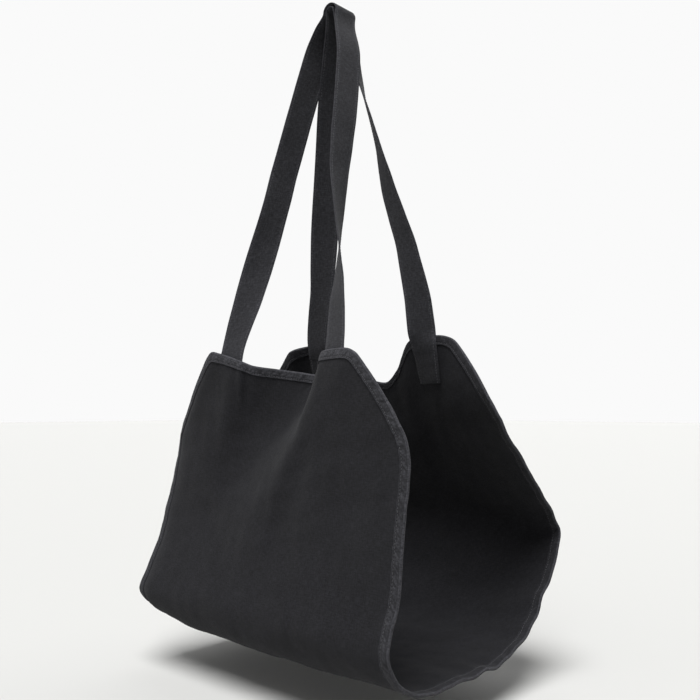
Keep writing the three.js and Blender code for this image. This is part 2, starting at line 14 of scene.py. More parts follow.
import bpy
import numpy as np
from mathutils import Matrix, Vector


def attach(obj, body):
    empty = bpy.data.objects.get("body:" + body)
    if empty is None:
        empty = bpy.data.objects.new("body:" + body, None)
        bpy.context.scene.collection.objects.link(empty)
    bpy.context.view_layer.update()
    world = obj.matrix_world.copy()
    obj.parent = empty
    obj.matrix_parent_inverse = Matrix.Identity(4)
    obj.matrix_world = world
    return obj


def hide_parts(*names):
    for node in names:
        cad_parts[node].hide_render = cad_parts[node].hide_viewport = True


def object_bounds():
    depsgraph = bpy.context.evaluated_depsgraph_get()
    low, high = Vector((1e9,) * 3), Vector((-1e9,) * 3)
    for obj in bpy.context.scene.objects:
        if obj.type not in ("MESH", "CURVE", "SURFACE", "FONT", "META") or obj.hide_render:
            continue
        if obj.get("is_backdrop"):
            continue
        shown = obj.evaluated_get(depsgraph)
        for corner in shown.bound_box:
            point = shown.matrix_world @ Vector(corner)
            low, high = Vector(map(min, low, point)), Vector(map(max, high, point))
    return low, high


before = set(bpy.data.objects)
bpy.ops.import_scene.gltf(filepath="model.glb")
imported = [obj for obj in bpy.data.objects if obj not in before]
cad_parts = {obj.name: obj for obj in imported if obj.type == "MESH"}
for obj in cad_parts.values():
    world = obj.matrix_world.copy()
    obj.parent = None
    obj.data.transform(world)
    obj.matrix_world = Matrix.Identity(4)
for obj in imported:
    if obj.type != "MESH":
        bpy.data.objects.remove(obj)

LOG = logging.getLogger("log_carrier")
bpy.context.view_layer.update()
MM = 0.001
CLOTH_MAP = "Cloth"
# The point attribute that pales the cloth towards its worn colour: wear, painted highlights where it is
# raised, and painted shade where it is kept low.
WEAR_AND_LIGHT = "wear_and_painted_light"
# A wave texture of scale 1 has one band in 2 pi / 20 units, so this over a width is its scale.
WAVE_BAND = 2 * math.pi / 20


class Wall(Enum):
    """The two walls of the panel, by the sign of Y."""

    FRONT = -1
    BACK = 1


class Level(Enum):
    """The two values of a section's row, by their place in it: how far out and how far up."""

    OUT = 0
    UP = 1


# The tables of the cloth are the part's own, apart from a few rows in which the photograph shows the
# loose cloth more closely than the solids do.

# Sections of the front wall from the hem down to the belly: (out, up) at the far end, in the middle
# and at the near end. out: 0 at the mouth, 1 at the belly. up: 0 at the belly, 1 at the hem.
FRONT_WALL = (
    ((0, 1), (0, 1), (0, 1)),
    ((-0.16, 0.66), (0.16, 0.7), (0.22, 0.66)),
    ((0.09, 0.45), (0.34, 0.44), (0.33, 0.5)),
    ((0.37, 0.28), (0.52, 0.25), (0.55, 0.33)),
    ((0.88, 0.09), (0.8, 0.1), (0.67, 0.16)),
    ((1.06, 0), (1, 0), (1, 0)),
)

# Sections of the bottom: (across, up). across: 0 at the front belly, 1 at the back belly. up: share
# of the back belly's rise.
BOTTOM = (
    ((0.015, 0.27), (0.025, 0.19), (0.018, 0.25)),
    ((0.065, 0.17), (0.08, 0.06), (0.06, 0.13)),
    ((0.15, 0.1), (0.16, 0.01), (0.13, 0.03)),
    ((0.34, 0.07), (0.34, 0), (0.33, 0)),
    ((0.6, 0.05), (0.6, 0), (0.63, 0.03)),
    ((0.78, 0.12), (0.78, 0.08), (0.75, 0.18)),
    ((0.9, 0.38), (0.91, 0.34), (0.865, 0.46)),
    ((0.975, 0.75), (0.98, 0.72), (0.96, 0.78)),
)

# Sections of the back wall from the belly up to the hem, as for the front wall.
BACK_WALL = (
    ((1, 0), (1, 0), (0.965, -0.02)),
    ((0.93, 0.06), (0.97, 0.08), (0.885, 0.06)),
    ((0.46, 0.32), (0.62, 0.35), (0.33, 0.34)),
    ((0.05, 0.6), (0.28, 0.65), (-0.12, 0.6)),
    ((0, 1), (0, 1), (0, 1)),
)

# The mouth along the hems: along (share of the hem's half width), tuck of the front hem, its drop,
# flare of the back hem, its drop.
MOUTH = np.array((
    (-1, -0.24, -0.25, -0.95, 0.1),
    (-0.84, -0.1, -0.15, -0.1, 0),
    (-0.56, 0.06, 0.24, 0, 0.05),
    (-0.42, 0.2, 0.5, 0.4, 0.45),
    (-0.2, 0.55, 0.68, 0.8, 0.85),
    (0.05, 0.84, 0.86, 1, 1),
    (0.26, 1, 1, 0.72, 0.7),
    (0.38, 0.97, 0.8, 0.4, 0.36),
    (0.45, 0.74, 0.55, 0.2, 0.17),
    (0.51, 0.34, 0.25, 0.08, 0.06),
    (0.57, 0.07, 0.05, 0.02, 0.01),
    (0.86, -0.2, 0, 0.15, -0.04),
    (1, -0.28, 0.05, 0.35, 0),
))

# Main folds: wall, along and down at the start, along and down at the end, height and width as
# shares of the folds' sizes. along: share of the half width. down: share of the wall.
FOLDS = (
    (Wall.FRONT, 0.33, 0.02, -0.3, 0.9, 0.5, 1),
    (Wall.FRONT, 0.1, 0.1, -0.55, 0.75, -1, 1.4),
    (Wall.FRONT, 0.28, 0.18, 0, 0.55, 0.5, 0.6),
    (Wall.FRONT, 0.28, 0.36, 0.05, 0.78, -0.4, 0.6),
    (Wall.FRONT, -0.4, 0.04, -0.5, 0.4, 0.6, 0.5),
    (Wall.BACK, 0.44, 0.02, 0.66, 0.7, -0.8, 1),
    (Wall.BACK, -0.44, 0.02, -0.62, 0.7, -0.8, 1),
    (Wall.BACK, 0.3, 0.05, 0.1, 0.75, 0.8, 1.2),
)

# Fine creases of the cloth, which only the looks have: the same columns, with height and width in
# millimetres.
CREASES = (
    (Wall.FRONT, -0.05, 0.06, -0.42, 0.42, -4.0, 30),
    (Wall.FRONT, -0.335, 0.01, -0.36, 0.2, 3.2, 5),
    (Wall.FRONT, -0.3, 0.02, -0.34, 0.2, -1.2, 6),
    (Wall.FRONT, -0.53, 0.01, -0.535, 0.2, 0.5, 3),
    (Wall.FRONT, 0.345, 0.01, 0.35, 0.18, 0.4, 3),
    (Wall.FRONT, 0.525, 0.01, 0.53, 0.2, 0.4, 3),
    (Wall.FRONT, -0.12, 0.03, -0.4, 0.34, -0.9, 9),
    (Wall.FRONT, 0.22, 0.14, 0.06, 0.5, -0.5, 11),
    (Wall.FRONT, -0.04, 0.42, -0.2, 0.86, 0.6, 12),
    (Wall.FRONT, -0.7, 0.5, -0.35, 0.8, -0.6, 14),
    (Wall.FRONT, 0.62, 0.3, 0.5, 0.62, -0.6, 16),
    (Wall.FRONT, 0.85, 0.42, 0.7, 0.7, 0.5, 12),
    (Wall.BACK, 0.345, 0.01, 0.36, 0.24, 0.8, 3.5),
    (Wall.BACK, 0.525, 0.01, 0.55, 0.22, 0.6, 3.5),
    (Wall.BACK, -0.345, 0.01, -0.36, 0.24, 0.8, 3.5),
    (Wall.BACK, -0.525, 0.01, -0.55, 0.22, 0.6, 3.5),
    (Wall.BACK, 0.1, 0.1, 0.2, 0.6, 1.0, 10),
    (Wall.BACK, -0.15, 0.08, -0.3, 0.55, -0.9, 12),
    (Wall.BACK, 0.7, 0.35, 0.8, 0.75, -0.7, 12),
)

# Legs of the handles from the hem (rise 0) to the hang point (rise 1): rise, spread (share of half
# the strap spacing) and turn (degrees by which the strap's width has turned away from Y).
LEGS = {
    "front_far": np.array((
        (0, 1, 83), (0.17, 0.84, 58), (0.43, 0.59, 16), (0.57, 0.5, 15), (0.72, 0.38, 15),
        (0.9, 0.22, 14), (0.96, 0.11, 8), (1, 0, 0),
    )),
    "front_near": np.array((
        (0, 1, 76), (0.1, 0.93, 72), (0.26, 0.78, 46), (0.4, 0.6, 22), (0.52, 0.475, 4),
        (0.66, 0.4, -6), (0.86, 0.24, -8), (1, 0, 0),
    )),
    "back_far": np.array((
        (0, 1, 90), (0.18, 0.79, 78), (0.37, 0.61, 55), (0.57, 0.4, 42), (0.75, 0.23, 30),
        (0.88, 0.1, 8), (1, 0, 0),
    )),
    "back_near": np.array((
        (0, 1, 105), (0.1, 0.98, 99), (0.25, 0.87, 82), (0.46, 0.59, 64), (0.59, 0.46, 45),
        (0.74, 0.28, 34), (0.88, 0.1, 8), (1, 0, 0),
    )),
}


def smooth_table(keys: np.ndarray, values: np.ndarray, at: np.ndarray) -> np.ndarray:
    """Reads a table on a smooth curve that never passes beyond the values of two rows.

    Args:
        keys: the rows' places, rising.
        values: the rows' values.
        at: the places to read.

    Returns:
        The values at those places.
    """
    at = np.clip(at, keys[0], keys[-1])
    index = np.clip(np.searchsorted(keys, at, side="left") - 1, 0, len(keys) - 2)
    spans = np.diff(keys)
    secants = np.diff(values) / spans
    before, after = secants[:-1], secants[1:]
    same = before * after > 0
    total = np.where(same, before + after, 1)
    slopes = np.concatenate(([0], np.where(same, 2 * before * after / total, 0), [0]))
    span = spans[index]
    t = (at - keys[index]) / span
    rest = 1 - t
    return (
        values[index] * rest * rest * (1 + 2 * t)
        + values[index + 1] * t * t * (3 - 2 * t)
        + slopes[index] * span * t * rest * rest
        - slopes[index + 1] * span * t * t * rest
    )


def smooth_step(value: np.ndarray, low: float, high: float) -> np.ndarray:
    """Rises smoothly from 0 at low to 1 at high."""
    t = np.clip((value - low) / (high - low), 0, 1)
    return t * t * (3 - 2 * t)


def blend(first: np.ndarray, second: np.ndarray, share: np.ndarray) -> np.ndarray:
    """Passes from the first value to the second as share goes from 0 to 1."""
    return first + (second - first) * share


def unit(vectors: np.ndarray) -> np.ndarray:
    """Scales vectors, given along the last axis, to length 1."""
    return vectors / np.maximum(np.linalg.norm(vectors, axis=-1, keepdims=True), 1e-12)


def running_length(points: np.ndarray) -> np.ndarray:
    """Length of a line from its first point to each of its points."""
    return np.concatenate(([0], np.cumsum(np.linalg.norm(np.diff(points, axis=0), axis=1))))


def read_grid(grid: np.ndarray, row: np.ndarray, column: np.ndarray) -> np.ndarray:
    """Reads vectors that are given on a grid at places between its points.

    Args:
        grid: the vectors, by row, column and coordinate.
        row: places down the grid, in steps of the grid.
        column: places across the grid, in steps of the grid.

    Returns:
        The vectors at those places.
    """
    i = np.minimum(row.astype(int), grid.shape[0] - 2)
    j = np.minimum(column.astype(int), grid.shape[1] - 2)
    down, across = (row - i)[..., None], (column - j)[..., None]
    upper = blend(grid[i, j], grid[i, j + 1], across)
    lower = blend(grid[i + 1, j], grid[i + 1, j + 1], across)
    return blend(upper, lower, down)


def ripple(along: np.ndarray, wavelength: float, seed: int) -> np.ndarray:
    """An uneven wave along a length, from -1 to 1, the same at each run.

    Args:
        along: places along the length.
        wavelength: its mean wavelength.
        seed: which of the waves.

    Returns:
        The wave at those places.
    """
    draw = np.random.RandomState(seed)
    wave = np.zeros_like(along)
    for stretch in (0.62, 0.85, 1.13, 1.6):
        phase = draw.uniform(0, 2 * math.pi)
        wave = wave + np.sin(2 * math.pi * along / (wavelength * stretch) + phase)
    return wave / 4


def undulation(x: np.ndarray, s: np.ndarray, wavelength: float, seed: int) -> np.ndarray:
    """Shallow waves in many directions over a cloth, from about -1 to 1.

    Args:
        x: places across the cloth.
        s: places along it.
        wavelength: the waves' mean length.
        seed: which of the patterns.

    Returns:
        The height at those places.
    """
    draw = np.random.RandomState(seed)
    waves = 14
    height = np.zeros_like(x)
    for _ in range(waves):
        angle = draw.uniform(0, math.pi)
        length = wavelength * draw.uniform(0.6, 1.6)
        phase = draw.uniform(0, 2 * math.pi)
        place = x * math.cos(angle) + s * math.sin(angle)
        height = height + np.sin(2 * math.pi * place / length + phase)
    return height / math.sqrt(waves)


def section_points(points: np.ndarray, steps: int) -> np.ndarray:
    """Centripetal curve through points.

    Args:
        points: the points, by row and coordinate.
        steps: how many steps the whole curve has.

    Returns:
        steps + 1 points, evenly spaced by the curve's own parameter.
    """
    last = len(points) - 1
    ends = np.vstack((2 * points[0] - points[1], points, 2 * points[last] - points[last - 1]))
    place = np.linspace(0, last, steps + 1)
    start = np.minimum(place.astype(int), last - 1)
    t = (place - start)[:, None]
    p0, p1, p2, p3 = (ends[start + offset] for offset in range(4))
    dt0, dt1, dt2 = (
        np.sqrt(np.linalg.norm(b - a, axis=1))[:, None] for a, b in ((p0, p1), (p1, p2), (p2, p3))
    )
    m1 = dt1 * ((p1 - p0) / dt0 - (p2 - p0) / (dt0 + dt1) + (p2 - p1) / dt1)
    m2 = dt1 * ((p2 - p1) / dt1 - (p3 - p1) / (dt1 + dt2) + (p3 - p2) / dt2)
    return p1 + m1 * t + (-3 * p1 + 3 * p2 - 2 * m1 - m2) * t**2 + (2 * p1 - 2 * p2 + m1 + m2) * t**3


@dataclass(frozen=True)
class PanelCut:
    """The panel as it is cut: a rectangle whose corners are cut off and rounded."""

    width: float = 450 * MM
    corner_along: float = 87 * MM
    corner_down: float = 110 * MM
    corner_bulge: float = 6 * MM
    corner_round: float = 11 * MM
    shoulder_round: float = 22 * MM
    canvas: float = 1.6 * MM

    @property
    def half_hem(self) -> float:
        """Half the length of a hem."""
        return self.width / 2 - self.corner_along

    @property
    def slant(self) -> float:
        """How much nearer an edge point of a cut corner is than its distance along X."""
        return self.corner_down / math.hypot(self.corner_along, self.corner_down)

    def half_width(self, from_hem: np.ndarray) -> np.ndarray:
        """Half width of the flat panel, with its sharp corners.

        Args:
            from_hem: lengths of cloth from the nearer hem.

        Returns:
            The half widths there.
        """
        share = np.minimum(1, from_hem / self.corner_down)
        bulge = self.corner_bulge * np.sin(math.pi * np.clip(share, 0, 1))
        return self.half_hem + share * self.corner_along + bulge

    def rounded_half_width(self, from_hem: np.ndarray) -> np.ndarray:
        """Half width with a round shoulder where a cut corner meets the side.

        Args:
            from_hem: lengths of cloth from the nearer hem.

        Returns:
            The half widths there.
        """
        reach = self.shoulder_round
        turn = (self.corner_along - math.pi * self.corner_bulge) / self.corner_down
        near = np.clip(reach - np.abs(from_hem - self.corner_down), 0, reach)
        return self.half_width(from_hem) - turn * near * near / (4 * reach)


@dataclass(frozen=True)
class HungSizes:
    """The panel as it hangs, filled out: heights, widths, and how the mouth and the folds fade."""

    handle_rise: float = 492.5 * MM
    front_height: float = 371 * MM
    back_height: float = 396 * MM
    front_mouth: float = 112 * MM
    back_mouth: float = 63 * MM
    front_belly: float = 165 * MM
    back_belly: float = 196 * MM
    front_belly_rise: float = 55 * MM
    back_belly_rise: float = 140 * MM
    front_droop: float = 28 * MM
    back_droop: float = 58 * MM
    front_tuck: float = 38 * MM
    back_flare: float = 26 * MM
    fold_height: float = 6 * MM
    fold_width: float = 34 * MM
    tuck_drift: float = 0.6
    flare_drift: float = 0.25
    droop_fade: float = 1.3
    tuck_fade: float = 1.5
    end_blend: float = 2.2
    fold_starts: float = 0.2
    fold_ends: float = 0.95
    fold_fade: float = 4

    @property
    def bottom_z(self) -> float:
        """Height of the bottom's lowest line."""
        return -(self.handle_rise + self.front_height)


@dataclass(frozen=True)
class ClothRelief:
    """Slack, ripples and creases that only the looks have: heights, wavelengths and reaches.

    Reaches in pairs are where something starts and where it is complete. Those of the heavy bottom
    and of the curl are shares of the cloth's length.
    """

    slack: float = 0.9 * MM
    slack_wave: float = 95 * MM
    dimple: float = 0.28 * MM
    dimple_wave: float = 34 * MM
    grain: float = 0.05 * MM
    grain_wave: float = 11 * MM
    taut_share: float = 0.25
    taut_reach: tuple[float, float] = (20 * MM, 90 * MM)
    pucker: float = 0.45 * MM
    pucker_wave: float = 15 * MM
    pucker_place: float = 11 * MM
    pucker_width: float = 7 * MM
    pressed: float = 3.4 * MM
    pressed_wave: float = 62 * MM
    pressed_width: float = 45 * MM
    heavy_from_front: tuple[float, float] = (0.36, 0.5)
    heavy_from_back: tuple[float, float] = (0.2, 0.3)
    curl: float = 7 * MM
    curl_width: float = 17 * MM
    curl_fade: tuple[float, float] = (0.33, 0.42)


class HungCloth:
    """The surface in which the panel hangs: from a place on the flat cloth to one in space.

    A place on the flat cloth is x, across it, and s, the length of cloth from the front hem.
    SHARES sections are worked out, in STEPS steps, to SHARE_LIMIT of the half width, and kept at
    ROWS places. The surface is then laid on GRID_ROWS by GRID_COLUMNS points. Towards the belly the
    tuck of the mouth is softened over SOFTENING of the hem, by its mean at SPREADS.
    """

    SHARE_LIMIT = 1.06
    SHARES = 213
    STEPS = 600
    ROWS = 1401
    GRID_ROWS = 851
    GRID_COLUMNS = 381
    SOFTENING = 0.6
    SPREADS = (-1, -0.67, -0.33, 0, 0.33, 0.67, 1)

    def __init__(self, cut: PanelCut, sizes: HungSizes, ripples: ClothRelief) -> None:
        """Works out the sections of the panel at many places across it.

        Args:
            cut: the flat panel.
            sizes: the panel as it hangs.
            ripples: the relief of its cloth.
        """
        self.cut = cut
        self.sizes = sizes
        self.ripples = ripples
        shares = np.linspace(-self.SHARE_LIMIT, self.SHARE_LIMIT, self.SHARES)
        rows = np.linspace(0, 1, self.ROWS)
        spans = len(FRONT_WALL) + len(BOTTOM) + len(BACK_WALL) - 1
        self.table = np.zeros((self.ROWS, self.SHARES, 2))
        self.totals = np.zeros(self.SHARES)
        self.fronts = np.zeros(self.SHARES)
        self.backs = np.zeros(self.SHARES)
        for column, share in enumerate(shares):
            points = section_points(self._section(float(share)), self.STEPS)
            lengths = running_length(points)
            total = lengths[-1]
            for axis in range(2):
                self.table[:, column, axis] = np.interp(rows * total, lengths, points[:, axis])
            self.totals[column] = total
            self.fronts[column] = lengths[round((len(FRONT_WALL) - 1) / spans * self.STEPS)]
            belly = round((spans - len(BACK_WALL) + 1) / spans * self.STEPS)
            self.backs[column] = total - lengths[belly]
        self.length = float(self.totals[self.SHARES // 2])
        self._lay()

    def _section(self, share: float) -> np.ndarray:
        """Points of one section of the panel.

        Args:
            share: the section's place, as a share of the half width.

        Returns:
            The points (y, z) from the front hem to the back hem.
        """
        z = self.sizes
        power = abs(share) ** z.end_blend

        def value(row: tuple, level: Level) -> float:
            """One value of a row, between its middle and the end nearer to the section."""
            end = row[0] if share < 0 else row[2]
            return blend(row[1][level.value], end[level.value], power)

        front = [
            (
                -blend(z.front_mouth, z.front_belly, value(row, Level.OUT)),
                blend(z.front_belly_rise, z.front_height, value(row, Level.UP)),
            )
            for row in FRONT_WALL
        ]
        bottom = [
            (
                blend(-z.front_belly, z.back_belly, value(row, Level.OUT)),
                z.back_belly_rise * value(row, Level.UP),
            )
            for row in BOTTOM
        ]
        back = [
            (
                blend(z.back_mouth, z.back_belly, value(row, Level.OUT)),
                blend(z.back_belly_rise, z.back_height, value(row, Level.UP)),
            )
            for row in BACK_WALL
        ]
        return np.array(front + bottom + back) + np.array((0, z.bottom_z))

    def _along_shares(self, values: np.ndarray, share: np.ndarray) -> np.ndarray:
        """Reads one number per section at any share of the half width."""
        places = np.linspace(-self.SHARE_LIMIT, self.SHARE_LIMIT, self.SHARES)
        return np.interp(share, places, values)

    def _fold_heights(
        self, folds: tuple, wall: Wall, x: np.ndarray, down: np.ndarray, height: float, width: float
    ) -> np.ndarray:
        """Height of all the folds of one wall.

        Args:
            folds: rows like those of FOLDS.
            wall: the wall.
            x: places across the panel.
            down: shares of the way from the hem to the belly.
            height: what the rows' heights are shares of.
            width: what the rows' widths are shares of.

        Returns:
            The heights out of the bag, at each place.
        """
        z = self.sizes
        half = self.cut.width / 2
        places = np.stack((x, down * z.front_height), axis=-1)
        total = np.zeros_like(x)
        for fold_wall, along, start, to_along, end, share_height, share_width in folds:
            if fold_wall is not wall:
                continue
            first = np.array((along * half, start * z.front_height))
            run = np.array((to_along * half, end * z.front_height)) - first
            share = np.clip((places - first) @ run / (run @ run), 0, 1)
            away = np.linalg.norm(places - first - share[..., None] * run, axis=-1)
            away = away / (share_width * width)
            swell = np.sin(math.pi * blend(z.fold_starts, z.fold_ends, share))
            total = total + share_height * height * swell * np.exp(-away * away)
        return total

    def _base(self, x: np.ndarray, s: np.ndarray) -> np.ndarray:
        """The middle surface of the hung panel without its fine relief.

        Args:
            x: places across the flat cloth.
            s: places along it.

        Returns:
            The points in space.
        """
        z = self.sizes
        half = self.cut.half_width(np.minimum(s, self.length - s))
        share = np.clip(x / half, -self.SHARE_LIMIT, self.SHARE_LIMIT)
        total = self._along_shares(self.totals, share)
        front_length = self._along_shares(self.fronts, share)
        back_length = self._along_shares(self.backs, share)
        down = self.cut.corner_down
        stretch = (total - 2 * down) / (self.length - 2 * down)
        here = np.where(s <= down, s, down + (s - down) * stretch)
        here = np.where(self.length - s < down, total - (self.length - s), here)
        row = np.clip(here / total, 0, 1) * (self.ROWS - 1)
        column = (share / self.SHARE_LIMIT + 1) / 2 * (self.SHARES - 1)
        yz = read_grid(self.table, row, column)
        is_front = here < total - here
        to_hem = np.where(is_front, here, total - here)
        depth = np.where(is_front, here / front_length, to_hem / back_length)
        fade = np.clip(1 - depth, 0, 1)
        drift = np.where(is_front, z.tuck_drift, z.flare_drift)
        place = np.clip((x + drift * to_hem) / self.cut.half_hem, -1, 1)
        hem_place = np.clip(x / self.cut.half_hem, -1, 1)
        along = MOUTH[:, 0]
        # The tuck's edge is a sharp fold at the hem and a wide, soft one at the belly.
        tuck = z.front_tuck * sum(
            smooth_table(along, MOUTH[:, 1], np.clip(place + spread * self.SOFTENING * depth, -1, 1))
            for spread in self.SPREADS
        ) / len(self.SPREADS)
        flare = z.back_flare * smooth_table(along, MOUTH[:, 3], place)
        front_drop = z.front_droop * smooth_table(along, MOUTH[:, 2], hem_place)
        back_drop = z.back_droop * smooth_table(along, MOUTH[:, 4], hem_place)
        folds_fade = np.minimum(1, fade * z.fold_fade)
        front_folds = self._fold_heights(FOLDS, Wall.FRONT, x, depth, z.fold_height, z.fold_width)
        back_folds = self._fold_heights(FOLDS, Wall.BACK, x, depth, z.fold_height, z.fold_width)
        front_push = tuck * fade**z.tuck_fade - front_folds * folds_fade
        back_push = flare * fade**z.tuck_fade + back_folds * folds_fade
        push = np.where(is_front, front_push, back_push)
        drop = np.where(is_front, front_drop, back_drop) * fade**z.droop_fade
        return np.stack((x, yz[..., 0] + push, yz[..., 1] - drop), axis=-1)

    @staticmethod
    def _normals(points: np.ndarray) -> np.ndarray:
        """Normals out of the bag of a surface given as a grid of points."""
        return unit(np.cross(np.gradient(points, axis=0), np.gradient(points, axis=1)))

    def _lay(self) -> None:
        """Works out the cloth's middle surface, with all its relief, on a fine grid."""
        s, share = np.meshgrid(
            np.linspace(0, self.length, self.GRID_ROWS),
            np.linspace(-self.SHARE_LIMIT, self.SHARE_LIMIT, self.GRID_COLUMNS), indexing="ij",
        )
        x = share * self.cut.half_width(np.minimum(s, self.length - s))
        base = self._base(x, s)
        self.points = base + self._normals(base) * self.relief(x, s)[..., None]
        self.normals = self._normals(self.points)

    def edge_distance(self, x: np.ndarray, s: np.ndarray) -> np.ndarray:
        """Distance on the flat cloth from the nearest edge.

        Args:
            x: places across the flat cloth.
            s: places along it.

        Returns:
            The distances, 0 past the edge.
        """
        to_hem = np.minimum(s, self.length - s)
        slant = np.where(to_hem < self.cut.corner_down, self.cut.slant, 1)
        to_side = (self.cut.rounded_half_width(to_hem) - np.abs(x)) * slant
        return np.maximum(np.minimum(to_hem, to_side), 0)

    def relief(self, x: np.ndarray, s: np.ndarray) -> np.ndarray:
        """Height of the creases and ripples that only the looks have.

        Args:
            x: places across the flat cloth.
            s: places along it.

        Returns:
            The heights out of the bag.
        """
        size = self.ripples
        to_front, to_back = s / self.length, 1 - s / self.length
        to_hem = np.minimum(s, self.length - s)
        creases = np.where(
            to_front < to_back,
            self._fold_heights(CREASES, Wall.FRONT, x, s / np.mean(self.fronts), MM, MM),
            self._fold_heights(CREASES, Wall.BACK, x, (self.length - s) / np.mean(self.backs), MM, MM),
        )
        slack = size.slack * undulation(x, s, size.slack_wave, 3)
        slack = slack + size.dimple * undulation(x, s, size.dimple_wave, 8)
        slack = slack * blend(size.taut_share, 1, smooth_step(to_hem, *size.taut_reach))
        grain = size.grain * undulation(x, s, size.grain_wave, 12)
        from_hem_seam = (self.edge_distance(x, s) - size.pucker_place) / size.pucker_width
        pucker = size.pucker * ripple(x + s, size.pucker_wave, 21) * np.exp(-(from_hem_seam**2))
        # The bottom bears the weight, and its edges at the two open ends are pressed into waves.
        heavy = smooth_step(to_front, *size.heavy_from_front)
        heavy = heavy * smooth_step(to_back, *size.heavy_from_back)
        to_end = self.cut.half_width(to_hem) - np.abs(x)
        pressed = size.pressed * ripple(s, size.pressed_wave, 5)
        pressed = pressed * heavy * np.exp(-to_end / size.pressed_width)
        # The front wall's far edge turns inwards, which hides its hem from the camera.
        to_far_edge = self.cut.half_width(to_hem) + x
        curl = size.curl * np.exp(-((to_far_edge / size.curl_width) ** 2))
        curl = curl * (1 - smooth_step(to_front, *size.curl_fade))
        return creases + slack + grain + pucker + pressed - curl

    def place(self, x: np.ndarray, s: np.ndarray) -> tuple[np.ndarray, np.ndarray]:
        """Points and outward normals of the cloth's middle surface.

        Args:
            x: places across the flat cloth.
            s: places along it.

        Returns:
            The points and the normals.
        """
        share = x / self.cut.half_width(np.minimum(s, self.length - s))
        share = np.clip(share, -self.SHARE_LIMIT, self.SHARE_LIMIT)
        row = np.clip(s / self.length, 0, 1) * (self.GRID_ROWS - 1)
        column = (share / self.SHARE_LIMIT + 1) / 2 * (self.GRID_COLUMNS - 1)
        return read_grid(self.points, row, column), unit(read_grid(self.normals, row, column))

    def round_corner(self, x: np.ndarray, s: np.ndarray) -> tuple[np.ndarray, np.ndarray]:
        """Moves places near the four hem corners so that the outline's corners are rounded.

        The hem and the cut edge bend towards each other within a reach of the corner, and the cloth
        inside follows less and less.

        Args:
            x: places across the flat cloth, with sharp corners.
            s: places along it.

        Returns:
            The moved places.
        """
        cut = self.cut
        reach = cut.corner_round
        fade_reach = 2.5 * reach
        to_hem = np.minimum(s, self.length - s)
        half = cut.rounded_half_width(to_hem)
        side = np.sign(x)
        down = np.where(s < self.length / 2, 1, -1)
        lean = cut.corner_along / cut.corner_down
        run = math.hypot(1, lean)
        from_corner_x = cut.half_hem - np.abs(x) * cut.half_hem / half
        along_hem = np.clip(from_corner_x, 0, reach)
        along_cut = np.clip(to_hem * run, 0, reach)
        hem_share = (1 - along_hem / reach) / 2
        cut_share = (1 - along_cut / reach) / 2
        hem_dx = -((1 - hem_share) ** 2) * reach + along_hem + hem_share**2 * reach * lean / run
        hem_ds = hem_share**2 * reach / run
        cut_dx = ((1 - cut_share) ** 2 * reach - along_cut) * lean / run - cut_share**2 * reach
        cut_ds = ((1 - cut_share) ** 2 * reach - along_cut) / run
        corner_dx = reach / 4 * (lean / run - 1)
        corner_ds = reach / 4 / run
        near_hem = 1 - smooth_step(to_hem, 0, fade_reach)
        near_cut = 1 - smooth_step(half - np.abs(x), 0, fade_reach)
        dx = hem_dx * near_hem + cut_dx * near_cut - corner_dx * near_hem * near_cut
        ds = hem_ds * near_hem + cut_ds * near_cut - corner_ds * near_hem * near_cut
        return x + side * dx, s + down * ds


def linear_colour(hex_code: str) -> tuple[float, float, float, float]:
    """Turns an sRGB hex colour into a linear one.

    Args:
        hex_code: the colour, such as #1a1a1d.

    Returns:
        Linear red, green and blue, and alpha 1.
    """
    channels = [int(hex_code[i : i + 2], 16) / 255 for i in (1, 3, 5)]
    linear = [c / 12.92 if c <= 0.04045 else ((c + 0.055) / 1.055) ** 2.4 for c in channels]
    return (*linear, 1.0)


def add_node(tree: bpy.types.NodeTree, kind: str, settings: dict, links: dict) -> bpy.types.Node:
    """Adds a node with its settings and links.

    Args:
        tree: the material's node tree.
        kind: the node's type.
        settings: values of its properties, or of its inputs where no property has that name.
        links: the sockets that its inputs are linked from.

    Returns:
        The node.
    """
    node = tree.nodes.new(kind)
    for name, value in settings.items():
        if isinstance(name, str) and hasattr(node, name):
            setattr(node, name, value)
        else:
            node.inputs[name].default_value = value
    for name, socket in links.items():
        tree.links.new(socket, node.inputs[name])
    return node


